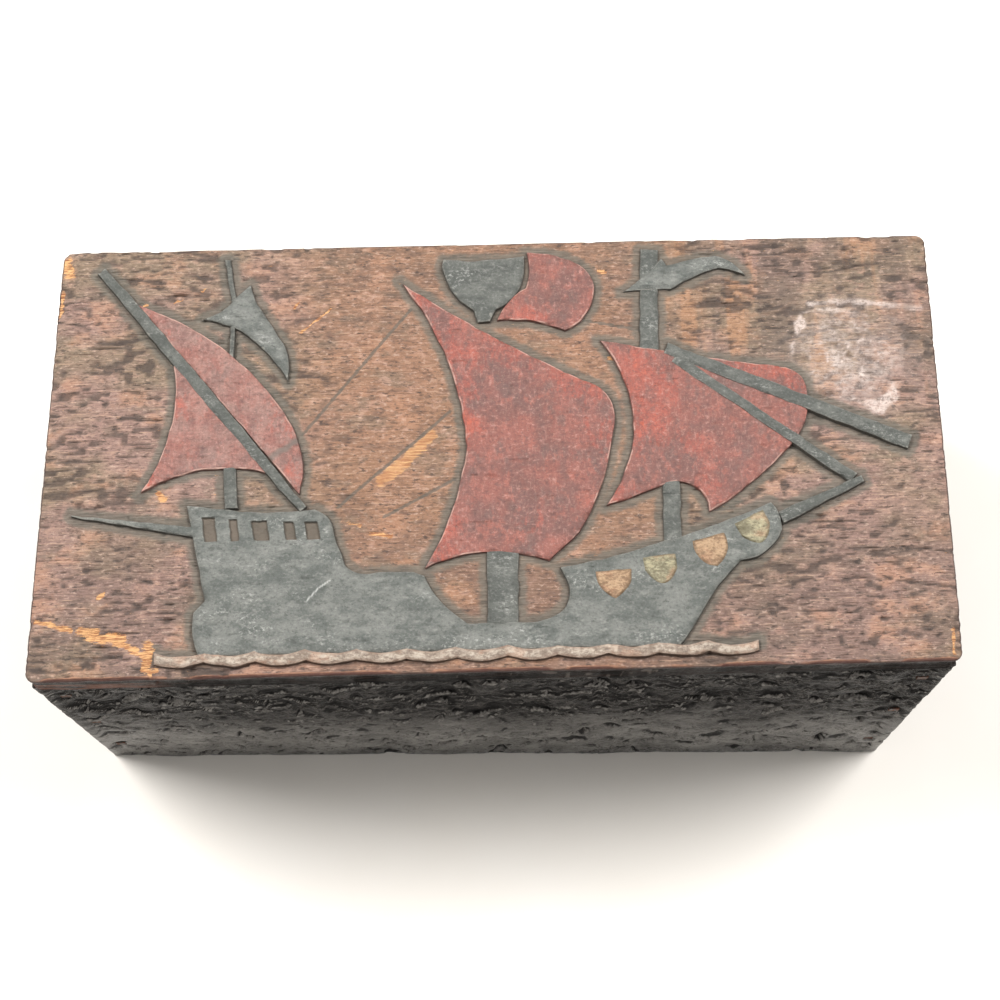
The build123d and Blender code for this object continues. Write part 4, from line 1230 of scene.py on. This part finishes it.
def carve(name, finish, height, wear_depth, pitch=0.42, slope=0.3, windows=()):
    """One figure: a fine net over its outline, its edge cut down into the ground, its top worn."""
    outline = outlines[name]
    points = net(outline.min(axis=0), outline.max(axis=0), pitch)
    points = points[nearness(points, [outline]) > slope + NET_GAP]
    for left, top, width in windows:
        low, high = (left - 0.6, WINDOW_FOOT - 0.6), (left + width + WINDOW_LEAN + 0.6, top + 0.6)
        points = points[~np.all((points > low) & (points < high), axis=1)]
        points = np.concatenate([points, net(low, high, 0.2)])
    for depth in (slope, slope + BEVEL):
        ring = inset(outline, depth)
        points = np.concatenate([points, ring[nearness(ring, [outline]) > depth * 0.92]])
    points = points[is_inside(*points.T, outline)]
    flat_points = [Vector(point) for point in np.concatenate([outline, points])]
    loop = [(index, (index + 1) % len(outline)) for index in range(len(outline))]
    net_points, _, net_faces, *_ = delaunay_2d_cdt(flat_points, loop, [], 1, 1e-5)
    data = bpy.data.meshes.new(name)
    data.from_pydata([(x * MM, y * MM, 0) for x, y in net_points], [], net_faces)
    piece = new_object(name, data)
    select_only(piece)
    mode("EDIT")
    bpy.ops.mesh.select_mode(type="EDGE")
    bpy.ops.mesh.select_all(action="SELECT")
    bpy.ops.mesh.region_to_loop()
    bpy.ops.mesh.extrude_edges_move()
    bpy.ops.mesh.edge_face_add()
    mode("OBJECT")
    place = read_points(piece) / MM
    x, y = place[:, 0], place[:, 1]
    rim = nearness(place, [outline])
    rim_steps = (0, slope, slope + BEVEL, slope + 0.9)
    rise = np.interp(rim, rim_steps, (-FOOT, height - 0.16, height - 0.03, height))
    ragged_rim = rim + 0.12 * rough(x / 1.6, y / 1.6, 86)
    worn_down = wear_depth * (0.5 + 0.5 * rough(x / 6, y / 4.5, 81))
    worn_down += 0.4 * wear_depth * (0.5 + 0.5 * rough(x / 1.7, y / 1.1, 82))
    worn_down += 0.18 * (1 - smooth_step(ragged_rim, 0, 1.3)) * (1 + rough(x / 2.3, y / 2.3, 83))
    worn_down += 0.3 * smooth_step(rough(x / 5.2, y / 1.4, 84), 0.60, 0.90)
    worn_down += 0.07 * (1 + rough(x / 0.9, y / 0.8, 85))
    worn_down += 0.35 * near_path(x, y, [(-7.3, -8.6), (0.3, -8.8)], 0.3)
    sunk = np.zeros(len(place))
    for left, top, width in windows:
        offset = x - left - WINDOW_LEAN * (top - y) / (top - WINDOW_FOOT)
        depth_in = np.minimum.reduce([offset, width - offset, top - y, y - WINDOW_FOOT])
        depth_in = depth_in + 0.15 * rough(x / 1.3, y / 1.3, 87)
        sunk = np.maximum(sunk, smooth_step(depth_in, 0.0, 0.28))
    place[:, 2] = GROUND + rise - (rim > 0.5 * slope) * worn_down - sunk * WINDOW_RECESS
    place[len(net_points):, 2] = GROUND - SINK
    set_points(piece, place, 42)
    bright = 0.25 * (1 - smooth_step(rim, 1, 7))
    for patch_x, patch_y, reach in bright_patches:
        bright += 0.65 * np.exp(-((x - patch_x) ** 2 + (y - patch_y) ** 2) / (1.5 * reach) ** 2)
    stripe = near_path(x, y, [(-65.8, -3.5), (-56.0, 3.2)], 1.0)
    scuff = near_path(x, y, [(-53.1, -44.6), (-49.6, -40.6), (-46.3, -38.4)], 0.22)
    mark(piece, rim=rim, sunk=sunk, bright=np.clip(bright, 0, 1), stripe=stripe, scuff=scuff)
    data.materials.append(finish)
    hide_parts("lid_board")
    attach(piece, "lid")


WINDOW_FOOT, WINDOW_LEAN, WINDOW_RECESS = CARVING_Y - 25.8, 1.0, 0.8
stern_windows = [
    (left, CARVING_Y + top, width)
    for left, top, width in (
        (-82.3, -18.6, 3.7), (-74.9, -19.2, 2.5), (-68.7, -19.9, 4.6), (-59.7, -20.3, 3.1),
        (-53.8, -20.5, 3.8),
    )
]
carve("ship_hull", hull_slate, 1.4, 0.24, 0.42, 0.3, stern_windows)
SAILS = ("mizzen_sail_upper", "mizzen_sail_lower", "main_sail", "fore_sail", "topsail")
MASTS = ("mizzen_mast_foot", "mizzen_mast_head", "main_mast", "fore_mast_head", "fore_mast_foot")
for names, finish, *cutting_sizes in (
    (SAILS, red, 1.2, 0.20, 0.4),
    (MASTS, spar_slate, 0.9, 0.14, 0.3, 0.2),
    (("mizzen_yard", "fore_yard", "fore_stay", "bowsprit"), spar_slate, 1.7, 0.25, 0.3, 0.25),
    (("crows_nest",), spar_slate, 1.5, 0.4, 0.36),
    (("mizzen_pennant", "fore_pennant"), hull_slate, 1.1, 0.14, 0.3, 0.2),
    (("waves",), tan, 1.6, 0.3, 0.32, 0.3),
    (("shield_1",), orange_gold, 1.9, 0.35, 0.28, 0.35),
    (("shield_2",), olive_gold, 1.9, 0.35, 0.28, 0.35),
    (("shield_3",), orange_gold, 1.9, 0.35, 0.28, 0.35),
    (("shield_4",), olive_gold, 1.9, 0.35, 0.28, 0.35),
):
    for name in names:
        carve(name, finish, *cutting_sizes)
